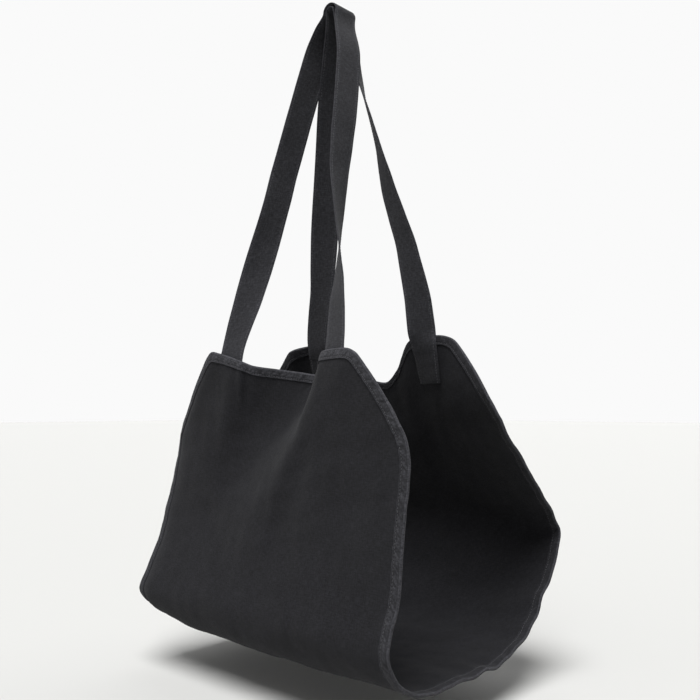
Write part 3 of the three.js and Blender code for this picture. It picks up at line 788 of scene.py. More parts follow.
@dataclass(frozen=True)
class WovenFinish:
    """A plain-woven cotton cloth: black, matt and a little fuzzy, with uneven threads.

    Its pattern follows the piece's own UV map, which is in metres on the flat cloth. The thread
    spacing is drawn about twice as coarse as that of heavy canvas, because the real one is finer
    than a pixel of the render.
    """

    name: str
    colour: str
    worn_and_lit_colour: str
    thread: float
    weave_depth: float
    roughness: float
    sheen: float
    mottle: float = 45 * MM
    slub: float = 6 * MM
    speckle: float = 0.18
    fibre: float = 1.4 * MM
    sheen_roughness: float = 0.55
    specular: float = 0.15

    def material(self) -> bpy.types.Material:
        """Builds the material: dye, wear with painted highlights and painted shade, the threads' shades
        with painted shade between them, roughness and relief.
        """
        material = bpy.data.materials.new(self.name)
        material.use_nodes = True
        tree = material.node_tree
        shader = tree.nodes["Principled BSDF"]
        uv = add_node(tree, "ShaderNodeUVMap", {"uv_map": CLOTH_MAP}, {}).outputs["UV"]
        bands = WAVE_BAND / self.thread
        warp, weft = (
            add_node(
                tree, "ShaderNodeTexWave", {"bands_direction": axis, "Scale": bands}, {"Vector": uv}
            )
            for axis in "XY"
        )
        over = add_node(tree, "ShaderNodeTexChecker", {"Scale": 1 / self.thread}, {"Vector": uv})
        weave = add_node(
            tree, "ShaderNodeMix", {"data_type": "FLOAT"},
            {0: over.outputs["Fac"], 2: warp.outputs["Fac"], 3: weft.outputs["Fac"]},
        ).outputs[0]
        slubs = []
        for stretch in ((1, 0.2, 1), (0.2, 1, 1)):
            turned = add_node(tree, "ShaderNodeMapping", {"Scale": stretch}, {"Vector": uv})
            slubs.append(add_node(
                tree, "ShaderNodeTexNoise", {"Scale": 1 / self.fibre, "Detail": 3.0},
                {"Vector": turned.outputs["Vector"]},
            ).outputs["Fac"])
        threads = add_node(
            tree, "ShaderNodeMath", {"operation": "MULTIPLY"}, {0: slubs[0], 1: slubs[1]}
        ).outputs["Value"]
        cloudy, specks = (
            add_node(
                tree, "ShaderNodeTexNoise", {"Scale": 1 / size, "Detail": detail, "Roughness": rough},
                {"Vector": uv},
            ).outputs["Fac"]
            for size, detail, rough in ((self.mottle, 4.0, 0.6), (self.slub, 5.0, 0.75))
        )
        # Wear and painted light: the attribute pales the dye towards the worn colour for wear and
        # painted highlights, and keeps it dark for painted shade.
        worn_and_lit = add_node(tree, "ShaderNodeAttribute", {"attribute_name": WEAR_AND_LIGHT}, {}).outputs["Fac"]
        patchy = add_node(
            tree, "ShaderNodeMapRange",
            {"From Min": 0.32, "From Max": 0.68, "To Min": 0.45, "To Max": 1.25}, {"Value": specks},
        ).outputs["Result"]
        wear_and_painted_light = add_node(
            tree, "ShaderNodeMath", {"operation": "MULTIPLY"}, {0: worn_and_lit, 1: patchy}
        ).outputs["Value"]
        dyed_worn_and_lit = add_node(
            tree, "ShaderNodeMix",
            {"data_type": "RGBA", "clamp_factor": True, 6: linear_colour(self.colour),
             7: linear_colour(self.worn_and_lit_colour)},
            {0: wear_and_painted_light},
        ).outputs[2]
        # Each pattern scales the colour of dye, wear and painted light, from dark where it is low to
        # light where it is high. The weave's low places, between the threads, are painted shade.
        shade = dyed_worn_and_lit
        for value, low, high, dark, light in (
            (cloudy, 0.3, 0.7, 0.88, 1.12),
            (specks, 0.3, 0.7, 1 - self.speckle, 1 + self.speckle),
            (threads, 0.12, 0.38, 0.62, 1.42),
            # Painted shade: the weave is darker in its low places, between the threads.
            (weave, 0.0, 1.0, 0.8, 1.12),
        ):
            factor = add_node(
                tree, "ShaderNodeMapRange",
                {"From Min": low, "From Max": high, "To Min": dark, "To Max": light}, {"Value": value},
            ).outputs["Result"]
            shade = add_node(
                tree, "ShaderNodeVectorMath", {"operation": "SCALE"}, {0: shade, "Scale": factor}
            ).outputs["Vector"]
        tree.links.new(shade, shader.inputs["Base Color"])
        rough = add_node(
            tree, "ShaderNodeMapRange",
            {"From Min": 0.3, "From Max": 0.7, "To Min": self.roughness - 0.06,
             "To Max": min(1.0, self.roughness + 0.06)},
            {"Value": specks},
        ).outputs["Result"]
        tree.links.new(rough, shader.inputs["Roughness"])
        relief = {}
        for height, strength, depth in ((weave, 0.55, 1), (threads, 0.7, 2.2), (specks, 0.5, 3)):
            relief["Height"] = height
            relief["Normal"] = add_node(
                tree, "ShaderNodeBump", {"Strength": strength, "Distance": depth * self.weave_depth},
                relief,
            ).outputs["Normal"]
        tree.links.new(relief["Normal"], shader.inputs["Normal"])
        shader.inputs["Sheen Weight"].default_value = self.sheen
        shader.inputs["Sheen Roughness"].default_value = self.sheen_roughness
        shader.inputs["Specular IOR Level"].default_value = self.specular
        return material


@dataclass(frozen=True)
class ThreadFinish:
    """Bonded black sewing thread: smoother and paler than the cloth, so that each stitch shows."""

    name: str = "bonded_black_sewing_thread"
    colour: str = "#3b3b40"
    ply: float = 0.5 * MM
    ply_depth: float = 0.1 * MM
    tint: float = 9 * MM
    roughness: float = 0.62
    sheen: float = 0.1

    def material(self) -> bpy.types.Material:
        """Builds the material, with the slanting plies of the thread as bump."""
        material = bpy.data.materials.new(self.name)
        material.use_nodes = True
        tree = material.node_tree
        shader = tree.nodes["Principled BSDF"]
        place = add_node(tree, "ShaderNodeTexCoord", {}, {}).outputs["Object"]
        tint = add_node(
            tree, "ShaderNodeTexNoise", {"Scale": 1 / self.tint, "Detail": 2.0}, {"Vector": place}
        ).outputs["Fac"]
        factor = add_node(
            tree, "ShaderNodeMapRange", {"To Min": 0.7, "To Max": 1.35}, {"Value": tint}
        ).outputs["Result"]
        colour = add_node(
            tree, "ShaderNodeVectorMath", {"operation": "SCALE", 0: linear_colour(self.colour)[:3]},
            {"Scale": factor},
        ).outputs["Vector"]
        tree.links.new(colour, shader.inputs["Base Color"])
        plies = add_node(
            tree, "ShaderNodeTexWave",
            {"bands_direction": "DIAGONAL", "Scale": WAVE_BAND / self.ply},
            {"Vector": place},
        ).outputs["Fac"]
        bump = add_node(
            tree, "ShaderNodeBump", {"Strength": 0.5, "Distance": self.ply_depth}, {"Height": plies}
        ).outputs["Normal"]
        tree.links.new(bump, shader.inputs["Normal"])
        shader.inputs["Roughness"].default_value = self.roughness
        shader.inputs["Sheen Weight"].default_value = self.sheen
        return material


def dressed(piece: bpy.types.Object, material: bpy.types.Material) -> bpy.types.Object:
    """Gives a piece its material, and lets it ride on the part's one body.

    Args:
        piece: the piece.
        material: its material.

    Returns:
        The same piece.
    """
    piece.data.materials.clear()
    piece.data.materials.append(material)
    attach(piece, "root")
    return piece


def select_only(piece: bpy.types.Object) -> None:
    """Makes one piece the only selected one."""
    bpy.ops.object.select_all(action="DESELECT")
    piece.select_set(True)
    bpy.context.view_layer.objects.active = piece


def smooth(piece: bpy.types.Object, degrees: float) -> None:
    """Shades a piece smoothly, apart from edges sharper than an angle."""
    select_only(piece)
    bpy.ops.object.shade_smooth_by_angle(angle=math.radians(degrees))


def set_wear_and_light(piece: bpy.types.Object, wear_and_painted_light: np.ndarray) -> None:
    """Stores how worn the cloth is at each point, from 0 to 1, for the cloth's material, together with
    painted highlights where it is raised and painted shade where it is kept low.
    """
    attribute = piece.data.attributes.new(WEAR_AND_LIGHT, "FLOAT", "POINT")
    attribute.data.foreach_set("value", np.clip(wear_and_painted_light, 0, 1).astype(np.float32).ravel())


def lay_uv(piece: bpy.types.Object, uv: np.ndarray) -> None:
    """Gives a piece the UV map that its cloth's material reads.

    Args:
        piece: the piece.
        uv: the place of each of its points on the flat cloth, in metres.
    """
    mesh = piece.data
    layer = mesh.uv_layers[0] if mesh.uv_layers else mesh.uv_layers.new()
    layer.name = CLOTH_MAP
    corners = np.zeros(len(mesh.loops), np.int32)
    mesh.loops.foreach_get("vertex_index", corners)
    layer.data.foreach_set("uv", uv.reshape(-1, 2)[corners].astype(np.float32).ravel())


def new_piece(name: str, points: np.ndarray, faces: list[list[int]]) -> bpy.types.Object:
    """Makes a piece of closed bodies whose faces all point outwards.

    Args:
        name: the piece's name.
        points: its points.
        faces: its faces, each by the numbers of its points.

    Returns:
        The piece.
    """
    mesh = bpy.data.meshes.new(name)
    mesh.from_pydata(points.reshape(-1, 3).tolist(), [], faces)
    piece = bpy.data.objects.new(name, mesh)
    bpy.context.scene.collection.objects.link(piece)
    select_only(piece)
    bpy.ops.object.mode_set(mode="EDIT")
    bpy.ops.mesh.select_all(action="SELECT")
    bpy.ops.mesh.normals_make_consistent(inside=False)
    bpy.ops.object.mode_set(mode="OBJECT")
    return piece


def loft(name: str, rings: np.ndarray, uv: np.ndarray, closed: bool) -> bpy.types.Object:
    """Makes a closed body from rings of points.

    Args:
        name: the piece's name.
        rings: points by ring, place on the ring and coordinate.
        uv: places on the flat cloth by ring and place on the ring, in metres.
        closed: whether the last ring joins the first. Otherwise both ends are capped.

    Returns:
        The piece.
    """
    count, around, _ = rings.shape
    steps = count if closed else count - 1
    ring, spot = np.meshgrid(np.arange(steps), np.arange(around), indexing="ij")
    after, beside = (ring + 1) % count, (spot + 1) % around
    corners = np.stack(
        (ring * around + spot, ring * around + beside, after * around + beside, after * around + spot),
        axis=-1,
    ).reshape(-1, 4)
    faces = corners.tolist()
    half = around // 2
    if not closed:
        for start, turn in ((0, 1), ((count - 1) * around, -1)):
            for one in range(half - 1):
                face = (one, around - 1 - one, around - 2 - one, one + 1)
                faces.append([start + corner for corner in face[::turn]])
    piece = new_piece(name, rings, faces)
    lay_uv(piece, uv)
    return piece


@dataclass
class Stitching:
    """Rows of lockstitches, each stitch a short length of thread sunk in at both ends."""

    thread: float = 0.62 * MM
    length: float = 3.1 * MM
    pitch: float = 3.7 * MM
    blunt: float = 0.6
    sunk: float = 0.45
    rows: list[tuple[np.ndarray, np.ndarray, np.ndarray]] = field(default_factory=list)

    def add(self, points: np.ndarray, normals: np.ndarray) -> None:
        """Adds a row of stitches along a line.

        Args:
            points: the line's points, close together.
            normals: the cloth's normals there.
        """
        lengths = running_length(points)
        count = max(1, int(lengths[-1] / self.pitch))
        middles = (np.arange(count) + 0.5) * lengths[-1] / count
        middle, ahead, back, up = (
            np.stack([np.interp(middles + offset, lengths, values[:, axis]) for axis in range(3)], 1)
            for values, offset in (
                (points, 0), (points, self.thread), (points, -self.thread), (normals, 0),
            )
        )
        self.rows.append((middle, unit(ahead - back), unit(up)))

    def build(self, name: str) -> bpy.types.Object:
        """Models one stitch, copies it to each place and joins the copies to one piece.

        Args:
            name: the piece's name.

        Returns:
            The piece.
        """
        bpy.ops.object.select_all(action="DESELECT")
        bpy.ops.mesh.primitive_uv_sphere_add(segments=6, ring_count=5, radius=0.5)
        one = bpy.context.object
        shape = np.array([vertex.co for vertex in one.data.vertices])
        faces = [list(face.vertices) for face in one.data.polygons]
        bpy.data.meshes.remove(one.data)
        place = np.sign(shape[:, 2]) * np.abs(2 * shape[:, 2]) ** self.blunt / 2
        sink = self.sunk * (2 * np.abs(place)) ** 3
        centres, along, up = (np.concatenate([row[i] for row in self.rows]) for i in range(3))
        side = np.cross(along, up)
        points = (
            centres[:, None, :]
            + along[:, None, :] * (place * self.length)[None, :, None]
            + side[:, None, :] * (shape[:, 0] * self.thread)[None, :, None]
            + up[:, None, :] * ((shape[:, 1] - sink) * self.thread)[None, :, None]
        )
        first = np.arange(len(centres)) * len(shape)
        all_faces = [[start + corner for corner in face] for start in first.tolist() for face in faces]
        piece = new_piece(name, points, all_faces)
        bpy.ops.object.shade_smooth()
        return piece


@dataclass
class BodyPanel:
    """The canvas panel."""

    cloth: HungCloth
    columns: int = 136
    cut_rows: int = 34
    main_rows: int = 266
    # The crests of the folds are painted paler, as wear and as a painted highlight. Beside the hems the
    # paler colour is wear.
    crest: tuple[float, float] = (0.4 * MM, 3.5 * MM)
    crest_wear_and_highlight: float = 0.12
    edge_reach: float = 16 * MM
    edge_wear: float = 0.2
    smooth_below: float = 50

    def build(self) -> bpy.types.Object:
        """Lays a flat grid, cut to the panel's outline, on the surface in which it hangs.

        Returns:
            The panel.
        """
        cut = self.cloth.cut
        rows = 2 * self.cut_rows + self.main_rows
        bpy.ops.object.select_all(action="DESELECT")
        bpy.ops.mesh.primitive_grid_add(x_subdivisions=self.columns, y_subdivisions=rows, size=2)
        panel = bpy.context.object
        panel.name = "canvas_panel"
        count = len(panel.data.vertices)
        flat = np.zeros(count * 3, np.float64)
        panel.data.vertices.foreach_get("co", flat)
        share = flat.reshape(-1, 3)[:, 0]
        row = np.rint((flat.reshape(-1, 3)[:, 1] + 1) / 2 * rows)
        ends = cut.corner_down
        places = np.array((0, self.cut_rows, self.cut_rows + self.main_rows, rows))
        lengths = np.array((0, ends, self.cloth.length - ends, self.cloth.length))
        s = np.interp(row, places, lengths)
        x = share * cut.rounded_half_width(np.minimum(s, self.cloth.length - s))
        x, s = self.cloth.round_corner(x, s)
        points, _ = self.cloth.place(x, s)
        panel.data.vertices.foreach_set("co", points.ravel())
        set_wear_and_light(panel, self._wear_and_highlight(x, s))
        lay_uv(panel, np.stack((x, s), 1))
        panel.data.update()
        select_only(panel)
        self._face_outwards(panel)
        wall = panel.modifiers.new("cloth_thickness", "SOLIDIFY")
        wall.thickness = cut.canvas
        wall.offset = 0
        wall.use_quality_normals = True
        bpy.ops.object.modifier_apply(modifier=wall.name)
        smooth(panel, self.smooth_below)
        return panel

    def _face_outwards(self, panel: bpy.types.Object) -> None:
        """Turns the faces if they point into the bag.

        Args:
            panel: the panel, selected and still a single sheet.
        """
        lowest = min(panel.data.polygons, key=lambda face: face.center.z)
        if lowest.normal.z > 0:
            bpy.ops.object.mode_set(mode="EDIT")
            bpy.ops.mesh.select_all(action="SELECT")
            bpy.ops.mesh.flip_normals()
            bpy.ops.object.mode_set(mode="OBJECT")

    def _wear_and_highlight(self, x: np.ndarray, s: np.ndarray) -> np.ndarray:
        """Paler colour of the cloth: wear with a painted highlight on the crests of the folds, and wear
        beside the hems.

        Args:
            x: places across the flat cloth.
            s: places along it.

        Returns:
            The wear and painted highlight there, from 0 to 1.
        """
        # Painted highlight, with wear: the high places of the relief are painted paler.
        crest = smooth_step(self.cloth.relief(x, s), *self.crest)
        edge = np.exp(-((self.cloth.edge_distance(x, s) / self.edge_reach) ** 2))
        return self.crest_wear_and_highlight * crest + self.edge_wear * edge


@dataclass
class EdgeBinding:
    """The narrow hem folded over the panel's edge and stitched through."""

    cloth: HungCloth
    width: float = 11 * MM
    ply: float = 1.2 * MM
    gap: float = 0.12 * MM
    step: float = 2.0 * MM
    stitch_inset: float = 8.6 * MM
    stitch_sunk: float = 0.3 * MM
    fold_inset: float = 0.3 * MM
    bend_inset: float = 0.6 * MM
    edge_run: float = 3 * MM
    leg_points: int = 12
    bend_points: int = 7
    pucker_height: float = 0.46 * MM
    pucker_wave: float = 7.5 * MM
    swell_wave: float = 19 * MM
    pucker_slant: float = 0.9
    groove_depth: float = 0.4 * MM
    groove_width: float = 0.9 * MM
    lip_lift: float = 0.3 * MM
    lip_wave: float = 9 * MM
    lip_wave_height: float = 0.16 * MM
    ridge: tuple[float, float] = (1.9 * MM, 2.6 * MM)
    handled: tuple[float, float] = (-0.55, -0.47)
    handled_wear_and_painted_light: float = 0.3
    # The hem's ridges are painted paler, as wear and as a painted highlight.
    ridge_wear_and_highlight: float = 0.5
    fold_wear: float = 0.55
    inner_share: float = 0.3
    smooth_below: float = 60

    def outline(self) -> tuple[np.ndarray, np.ndarray]:
        """The panel's edge on the flat cloth.

        Returns:
            Points (x, s) a step apart, in turn round the panel, and their inward normals.
        """
        cut, length = self.cloth.cut, self.cloth.length
        hem = np.linspace(-cut.half_hem, cut.half_hem, 400)
        down = np.linspace(0, length, 1600)
        side = cut.rounded_half_width(np.minimum(down, length - down))
        x = np.concatenate((hem, side[1:], hem[::-1][1:], -side[::-1][1:-1]))
        s = np.concatenate((0 * hem, down[1:], 0 * hem[1:] + length, down[::-1][1:-1]))
        x, s = self.cloth.round_corner(x, s)
        loop = np.stack((np.append(x, x[0]), np.append(s, s[0])), 1)
        lengths = running_length(loop)
        count = int(lengths[-1] / self.step)
        places = np.arange(count) * lengths[-1] / count
        points = np.stack([np.interp(places, lengths, loop[:, axis]) for axis in range(2)], 1)
        for _ in range(3):
            points = (np.roll(points, 1, 0) + 2 * points + np.roll(points, -1, 0)) / 4
        tangent = unit(np.roll(points, -2, 0) - np.roll(points, 2, 0))
        inward = np.stack((-tangent[:, 1], tangent[:, 0]), 1)
        return points, inward

    def profile(self) -> tuple[np.ndarray, np.ndarray, np.ndarray]:
        """The section of the folded strip.

        Returns:
            How far each point lies in from the edge, its height off the panel's middle surface, and
            1 or -1 where it is on the strip's outer skin over the outer or the inner face.
        """
        near = self.cloth.cut.canvas / 2 + self.gap
        far = near + self.ply
        over = np.linspace(self.width - self.ply / 3, self.bend_inset, self.leg_points)
        turn = np.linspace(0, math.pi, self.bend_points + 2)[1:-1]
        bend_in, bend_up = self.fold_inset - far * np.sin(turn), far * np.cos(turn)
        end = (np.array((self.width, self.width)), np.array((-far + self.ply / 3, -near - self.ply / 4)))
        under = np.array((self.width * 0.8, self.width * 0.4, self.fold_inset))
        deep = np.concatenate((over, bend_in, over[::-1], end[0], under, under[::-1], end[0]))
        high = np.concatenate((
            0 * over + far, bend_up, 0 * over - far, end[1], 0 * under - near, 0 * under + near,
            -end[1][::-1],
        ))
        skin = np.concatenate((
            0 * over + 1, 0 * turn, 0 * over - 1, 0 * end[0], 0 * under, 0 * under, 0 * end[0],
        ))
        return deep, high, skin

    def pucker(self, along: np.ndarray, deep: np.ndarray, seed: int) -> np.ndarray:
        """Height of the hem's puckers: slanting ridges that the stitching draws in.

        Args:
            along: places along the hem.
            deep: distances in from the edge.
            seed: which of the two faces.

        Returns:
            The heights.
        """
        middle = np.sin(math.pi * np.clip(deep / self.stitch_inset, 0, 1))
        slant = ripple(along + self.pucker_slant * deep, self.pucker_wave, seed)
        slant = slant + 0.6 * ripple(along, self.swell_wave, seed + 1)
        groove = np.exp(-(((deep - self.stitch_inset) / self.groove_width) ** 2))
        lip = smooth_step(deep, self.stitch_inset, self.width)
        lifted = self.lip_lift + self.lip_wave_height * ripple(along, self.lip_wave, seed + 2)
        return self.pucker_height * middle * (0.3 + slant) - self.groove_depth * groove + lifted * lip

    def build(self) -> bpy.types.Object:
        """Folds the strip round the panel's edge.

        Returns:
            The hem, one closed ring.
        """
        path, inward = self.outline()
        deep, high, skin = self.profile()
        along = np.arange(len(path)) * self.step
        inside = np.maximum(deep, 0)[None, :]
        flat = path[:, None, :] + inward[:, None, :] * inside[..., None]
        points, normals = self.cloth.place(flat[..., 0], flat[..., 1])
        inner, _ = self.cloth.place(*(path + inward * self.edge_run).T)
        edge, _ = self.cloth.place(*path.T)
        out = unit(edge - inner)
        grown = along[:, None] + 0 * inside
        lift = high[None, :] + np.where(
            skin == 1, self.pucker(grown, deep[None, :], 31),
            np.where(skin == -1, -self.pucker(grown, deep[None, :], 41), 0),
        )
        beyond = np.maximum(-deep, 0)[None, :, None]
        rings = points + normals * lift[..., None] + out[:, None, :] * beyond
        around = running_length(np.stack((deep, high), 1))
        uv = np.stack((grown, around[None, :] + 0 * grown), axis=-1)
        piece = loft("stitched_hem", rings, uv, closed=True)
        # Hands wear the hem near the mouth, and all of it is worn along its fold. Its ridges are painted
        # paler, as wear and as a painted highlight.
        ridge = smooth_step(lift * np.sign(high)[None, :], *self.ridge)
        wear_and_painted_light = self.handled_wear_and_painted_light * smooth_step(points[..., 2], *self.handled)
        # Painted highlight, with wear: the raised lip and the pucker crests are painted paler.
        wear_and_painted_light = wear_and_painted_light + self.ridge_wear_and_highlight * ridge * np.abs(skin)
        wear_and_painted_light = wear_and_painted_light + np.where(skin == 0, self.fold_wear, 0)
        set_wear_and_light(piece, wear_and_painted_light * np.where(skin == -1, self.inner_share, 1))
        smooth(piece, self.smooth_below)
        return piece

    def stitches(self, stitching: Stitching) -> None:
        """Adds the row that holds the hem, on both faces.

        Args:
            stitching: what the row is added to.
        """
        path, inward = self.outline()
        flat = path + inward * self.stitch_inset
        points, normals = self.cloth.place(*flat.T)
        height = self.cloth.cut.canvas / 2 + self.gap + self.ply - self.stitch_sunk
        for face in (1, -1):
            stitching.add(points + normals * face * height, normals * face)


@dataclass
class Handle:
    """One strap of folded canvas, sewn inside a wall at both ends and stitched along its edges."""

    name: str
    wall: Wall
    cloth: HungCloth
    far_leg: np.ndarray
    near_leg: np.ndarray
    lift: float
    width: float = 41 * MM
    thickness: float = 2 * MM
    margin: float = 19.5 * MM
    tail: float = 62 * MM
    hang_radius: float = 6 * MM
    hem_offset: float = 4.1 * MM
    tail_offset: float = 2.1 * MM
    stitch_inset: float = 3.6 * MM
    hem_clear: tuple[float, float] = (11 * MM, 24 * MM)
    sewn_fade: tuple[float, float] = (10 * MM, 60 * MM)
    bend_fade: tuple[float, float] = (15 * MM, 50 * MM)
    sway: float = 0.5 * MM
    sway_wave: float = 75 * MM
    cup: float = 0.7 * MM
    cup_wave: float = 120 * MM
    groove_depth: float = 0.22 * MM
    groove_width: float = 0.9 * MM
    pucker: float = 0.13 * MM
    pucker_wave: float = 8 * MM
    pucker_place: float = 2 * MM
    pucker_width: float = 3.2 * MM
    crosswise: float = 0.06 * MM
    crosswise_wave: float = 23 * MM
    edge_round: float = 0.9 * MM
    # Paler colour of the strap: plain wear all over, and wear with a painted highlight along the edges
    # and the ridge inside the stitching.
    plain_wear: float = 0.2
    edge_wear: float = 0.55
    edge_worn_and_lit: float = 2.2 * MM
    ridge_place: float = 5 * MM
    ridge_worn_and_lit: float = 1 * MM
    stitch_sunk: float = 0.12 * MM
    box_inset: float = 1.5 * MM
    box_top: float = 2 * MM
    box_low: float = 8.6 * MM
    box_height: float = 1.35 * MM
    smooth_below: float = 65
    across: int = 23
    tail_steps: int = 28
    leg_steps: int = 230
    bend_steps: int = 26
    joint_passes: int = 14
    joint_reach: tuple[int, int] = (7, 12)

    @property
    def spacing(self) -> float:
        """Distance between the middles of the strap's two ends."""
        return 2 * (self.cloth.cut.half_hem - self.margin) - self.width

    def _on_wall(self, x: np.ndarray, from_hem: float) -> np.ndarray:
        """Points of the strap's middle surface where it lies on the wall's inner side.

        Args:
            x: places across the wall.
            from_hem: how far below the hem.

        Returns:
            The points, which stand off the hem further than off the bare wall.
        """
        s = from_hem if self.wall is Wall.FRONT else self.cloth.length - from_hem
        points, normals = self.cloth.place(x, 0 * x + s)
        clear = smooth_step(np.array(from_hem), *self.hem_clear)
        return points - normals * blend(self.hem_offset, self.tail_offset, clear)

    def _leg(self, side: int, table: np.ndarray, shares: np.ndarray) -> list[np.ndarray]:
        """Rows of points across the strap, from the tail's end to the bend.

        Args:
            side: -1 at the far end, 1 at the near end.
            table: the leg's rows of rise, spread and turn.
            shares: places across the strap.

        Returns:
            The rows.
        """
        half = self.width / 2
        radius = self.hang_radius + self.lift + self.thickness / 2
        bend_z = self.lift + self.thickness / 2 - radius
        x = side * self.spacing / 2 - side * half * shares
        rows = [self._on_wall(x, self.tail * (1 - step / self.tail_steps))
                for step in range(self.tail_steps + 1)]
        hem = rows[-1].mean(axis=0)
        rise = np.arange(1, self.leg_steps + 1) / self.leg_steps
        spread = smooth_table(table[:, 0], table[:, 1], rise)
        turn = np.radians(smooth_table(table[:, 0], table[:, 2], rise))
        middle = np.stack((
            side * blend(radius, self.spacing / 2, spread), blend(hem[1], 0, rise),
            blend(hem[2], bend_z, rise)), axis=1)
        width = np.stack((-side * np.sin(turn), np.cos(turn), 0 * turn), axis=1)
        rows += list(middle[:, None, :] + width[:, None, :] * half * shares[None, :, None])
        # The strap leaves the hem in a soft bend.
        grid = np.array(rows)
        first, last = self.tail_steps - self.joint_reach[0], self.tail_steps + self.joint_reach[1]
        for _ in range(self.joint_passes):
            beside = grid[first - 1 : last - 1] + grid[first + 1 : last + 1]
            grid[first:last] = (beside + 2 * grid[first:last]) / 4
        return list(grid)

    def middle_surface(self) -> np.ndarray:
        """The strap's middle surface, with its bend over the hang point.

        Returns:
            The points, by row along the strap and place across it.
        """
        shares = np.linspace(-1, 1, self.across)
        radius = self.hang_radius + self.lift + self.thickness / 2
        bend_z = self.lift + self.thickness / 2 - radius
        angle = math.pi * (1 - np.arange(1, self.bend_steps) / self.bend_steps)
        bend = np.stack((
            radius * np.cos(angle)[:, None] + 0 * shares, shares * self.width / 2 + 0 * angle[:, None],
            bend_z + radius * np.sin(angle)[:, None] + 0 * shares), axis=-1)
        far = self._leg(-1, self.far_leg, shares)
        near = self._leg(1, self.near_leg, shares)[::-1]
        return np.array(far + list(bend) + near)

    def flat_length(self) -> float:
        """Length of the strap laid flat."""
        middle = self.middle_surface().mean(axis=1)
        return float(np.linalg.norm(np.diff(middle, axis=0), axis=1).sum())

    def _frame(self) -> tuple[np.ndarray, np.ndarray, np.ndarray, np.ndarray]:
        """The strap's middle surface with all that its skin is worked out from.

        Returns:
            The points, their normals, and their places across and along the strap.
        """
        rows = self.middle_surface()
        along = np.gradient(rows, axis=0)
        across = np.gradient(rows, axis=1)
        normals = unit(np.cross(along, across))
        lengths = running_length(rows.mean(axis=1))
        places = np.linspace(-self.width / 2, self.width / 2, self.across)
        return rows, normals, places[None, :] + 0 * lengths[:, None], lengths[:, None] + 0 * places

    def _loose(self, lengths: np.ndarray) -> np.ndarray:
        """How freely the strap hangs.

        Args:
            lengths: places along the strap.

        Returns:
            1 where it is free, 0 where it is sewn down or bends over the hang point.
        """
        total = lengths.max()
        free = smooth_step(lengths - self.tail, *self.sewn_fade)
        free = free * smooth_step(total - lengths - self.tail, *self.sewn_fade)
        return free * smooth_step(np.abs(lengths - total / 2), *self.bend_fade)

    def build(self) -> bpy.types.Object:
        """Makes the strap, a closed body with rounded edges and stitched grooves.

        Returns:
            The strap.
        """
        rows, normals, places, lengths = self._frame()
        half = self.width / 2
        seed = 60 if self.wall is Wall.FRONT else 70
        hollow = (places / half) ** 2 - 0.4
        bent = self.sway * ripple(lengths, self.sway_wave, seed)
        bent = bent + self.cup * hollow * ripple(lengths, self.cup_wave, seed + 1)
        rows = rows + normals * (self._loose(lengths) * bent)[..., None]
        from_edge = half - np.abs(places)
        groove = np.exp(-(((from_edge - self.stitch_inset) / self.groove_width) ** 2))
        near_edge = np.exp(-(((from_edge - self.pucker_place) / self.pucker_width) ** 2))
        puckers = self.pucker * near_edge * ripple(lengths, self.pucker_wave, seed + 2)
        crosswise = self.crosswise * ripple(lengths + 0.15 * places, self.crosswise_wave, seed + 3)
        round_edge = np.sqrt(np.clip(from_edge / self.edge_round, 0.08, 1))
        thick = self.thickness / 2 - self.groove_depth * groove + puckers + crosswise
        thick = thick * round_edge
        upper = rows + normals * thick[..., None]
        lower = rows - normals * thick[..., None]
        rings = np.concatenate((lower, upper[:, ::-1]), axis=1)
        uv = np.stack((places, lengths), axis=-1)
        uv = np.concatenate((uv, uv[:, ::-1] + np.array((self.width, 0))), axis=1)
        strap = loft(self.name, rings, uv, closed=False)
        # The edges and the ridge inside the stitching are paler, partly as wear and partly as a painted
        # highlight, and the sewn tails, which lie inside the walls, are kept at the plain dark colour as
        # painted shade.
        # Painted highlight, with wear: the edges and the ridge inside the stitching are painted paler.
        edge = np.exp(-((from_edge / self.edge_worn_and_lit) ** 2))
        ridge = np.exp(-(((from_edge - self.ridge_place) / self.ridge_worn_and_lit) ** 2))
        to_end = np.minimum(lengths, lengths.max() - lengths)
        # Painted shade: the wear colour fades out over the sewn tails, which lie in the shade inside the
        # walls.
        free = smooth_step(to_end, 0.3 * self.tail, 1.1 * self.tail)
        wear_and_painted_light = (self.plain_wear + self.edge_wear * (edge + 0.5 * ridge)) * free
        set_wear_and_light(strap, np.concatenate((wear_and_painted_light, wear_and_painted_light[:, ::-1]), axis=1))
        smooth(strap, self.smooth_below)
        return strap

    def stitches(self, stitching: Stitching) -> None:
        """Adds the two rows along the strap's edges, on both faces, and the sewn tails.

        Args:
            stitching: what the rows are added to.
        """
        rows, normals, _, _ = self._frame()
        shares = np.linspace(-1, 1, self.across)
        height = self.thickness / 2 - self.stitch_sunk
        for side in (-1, 1):
            spot = side * (1 - 2 * self.stitch_inset / self.width)
            line, up = (
                np.array([[np.interp(spot, shares, row[:, axis]) for axis in range(3)] for row in grid])
                for grid in (rows, normals)
            )
            up = unit(up)
            for face in (1, -1):
                stitching.add(line + up * face * height, up * face)
        self._tail_rows(stitching)

    def _tail_rows(self, stitching: Stitching) -> None:
        """Adds the box of stitches that holds each tail, as it shows on the hem's outer face.

        Args:
            stitching: what the rows are added to.
        """
        inset = self.width / 2 - self.box_inset
        top, low = self.box_top, self.box_low
        height = self.cloth.cut.canvas / 2 + self.box_height
        share = np.linspace(0, 1, 40)
        for side in (-1, 1):
            for x0, s0, x1, s1 in (
                (-inset, top, -inset, low), (inset, top, inset, low), (-inset, top, inset, top),
            ):
                x = side * self.spacing / 2 + blend(x0, x1, share)
                down = blend(s0, s1, share)
                s = down if self.wall is Wall.FRONT else self.cloth.length - down
                points, normals = self.cloth.place(x, s)
                stitching.add(points + normals * height, normals)


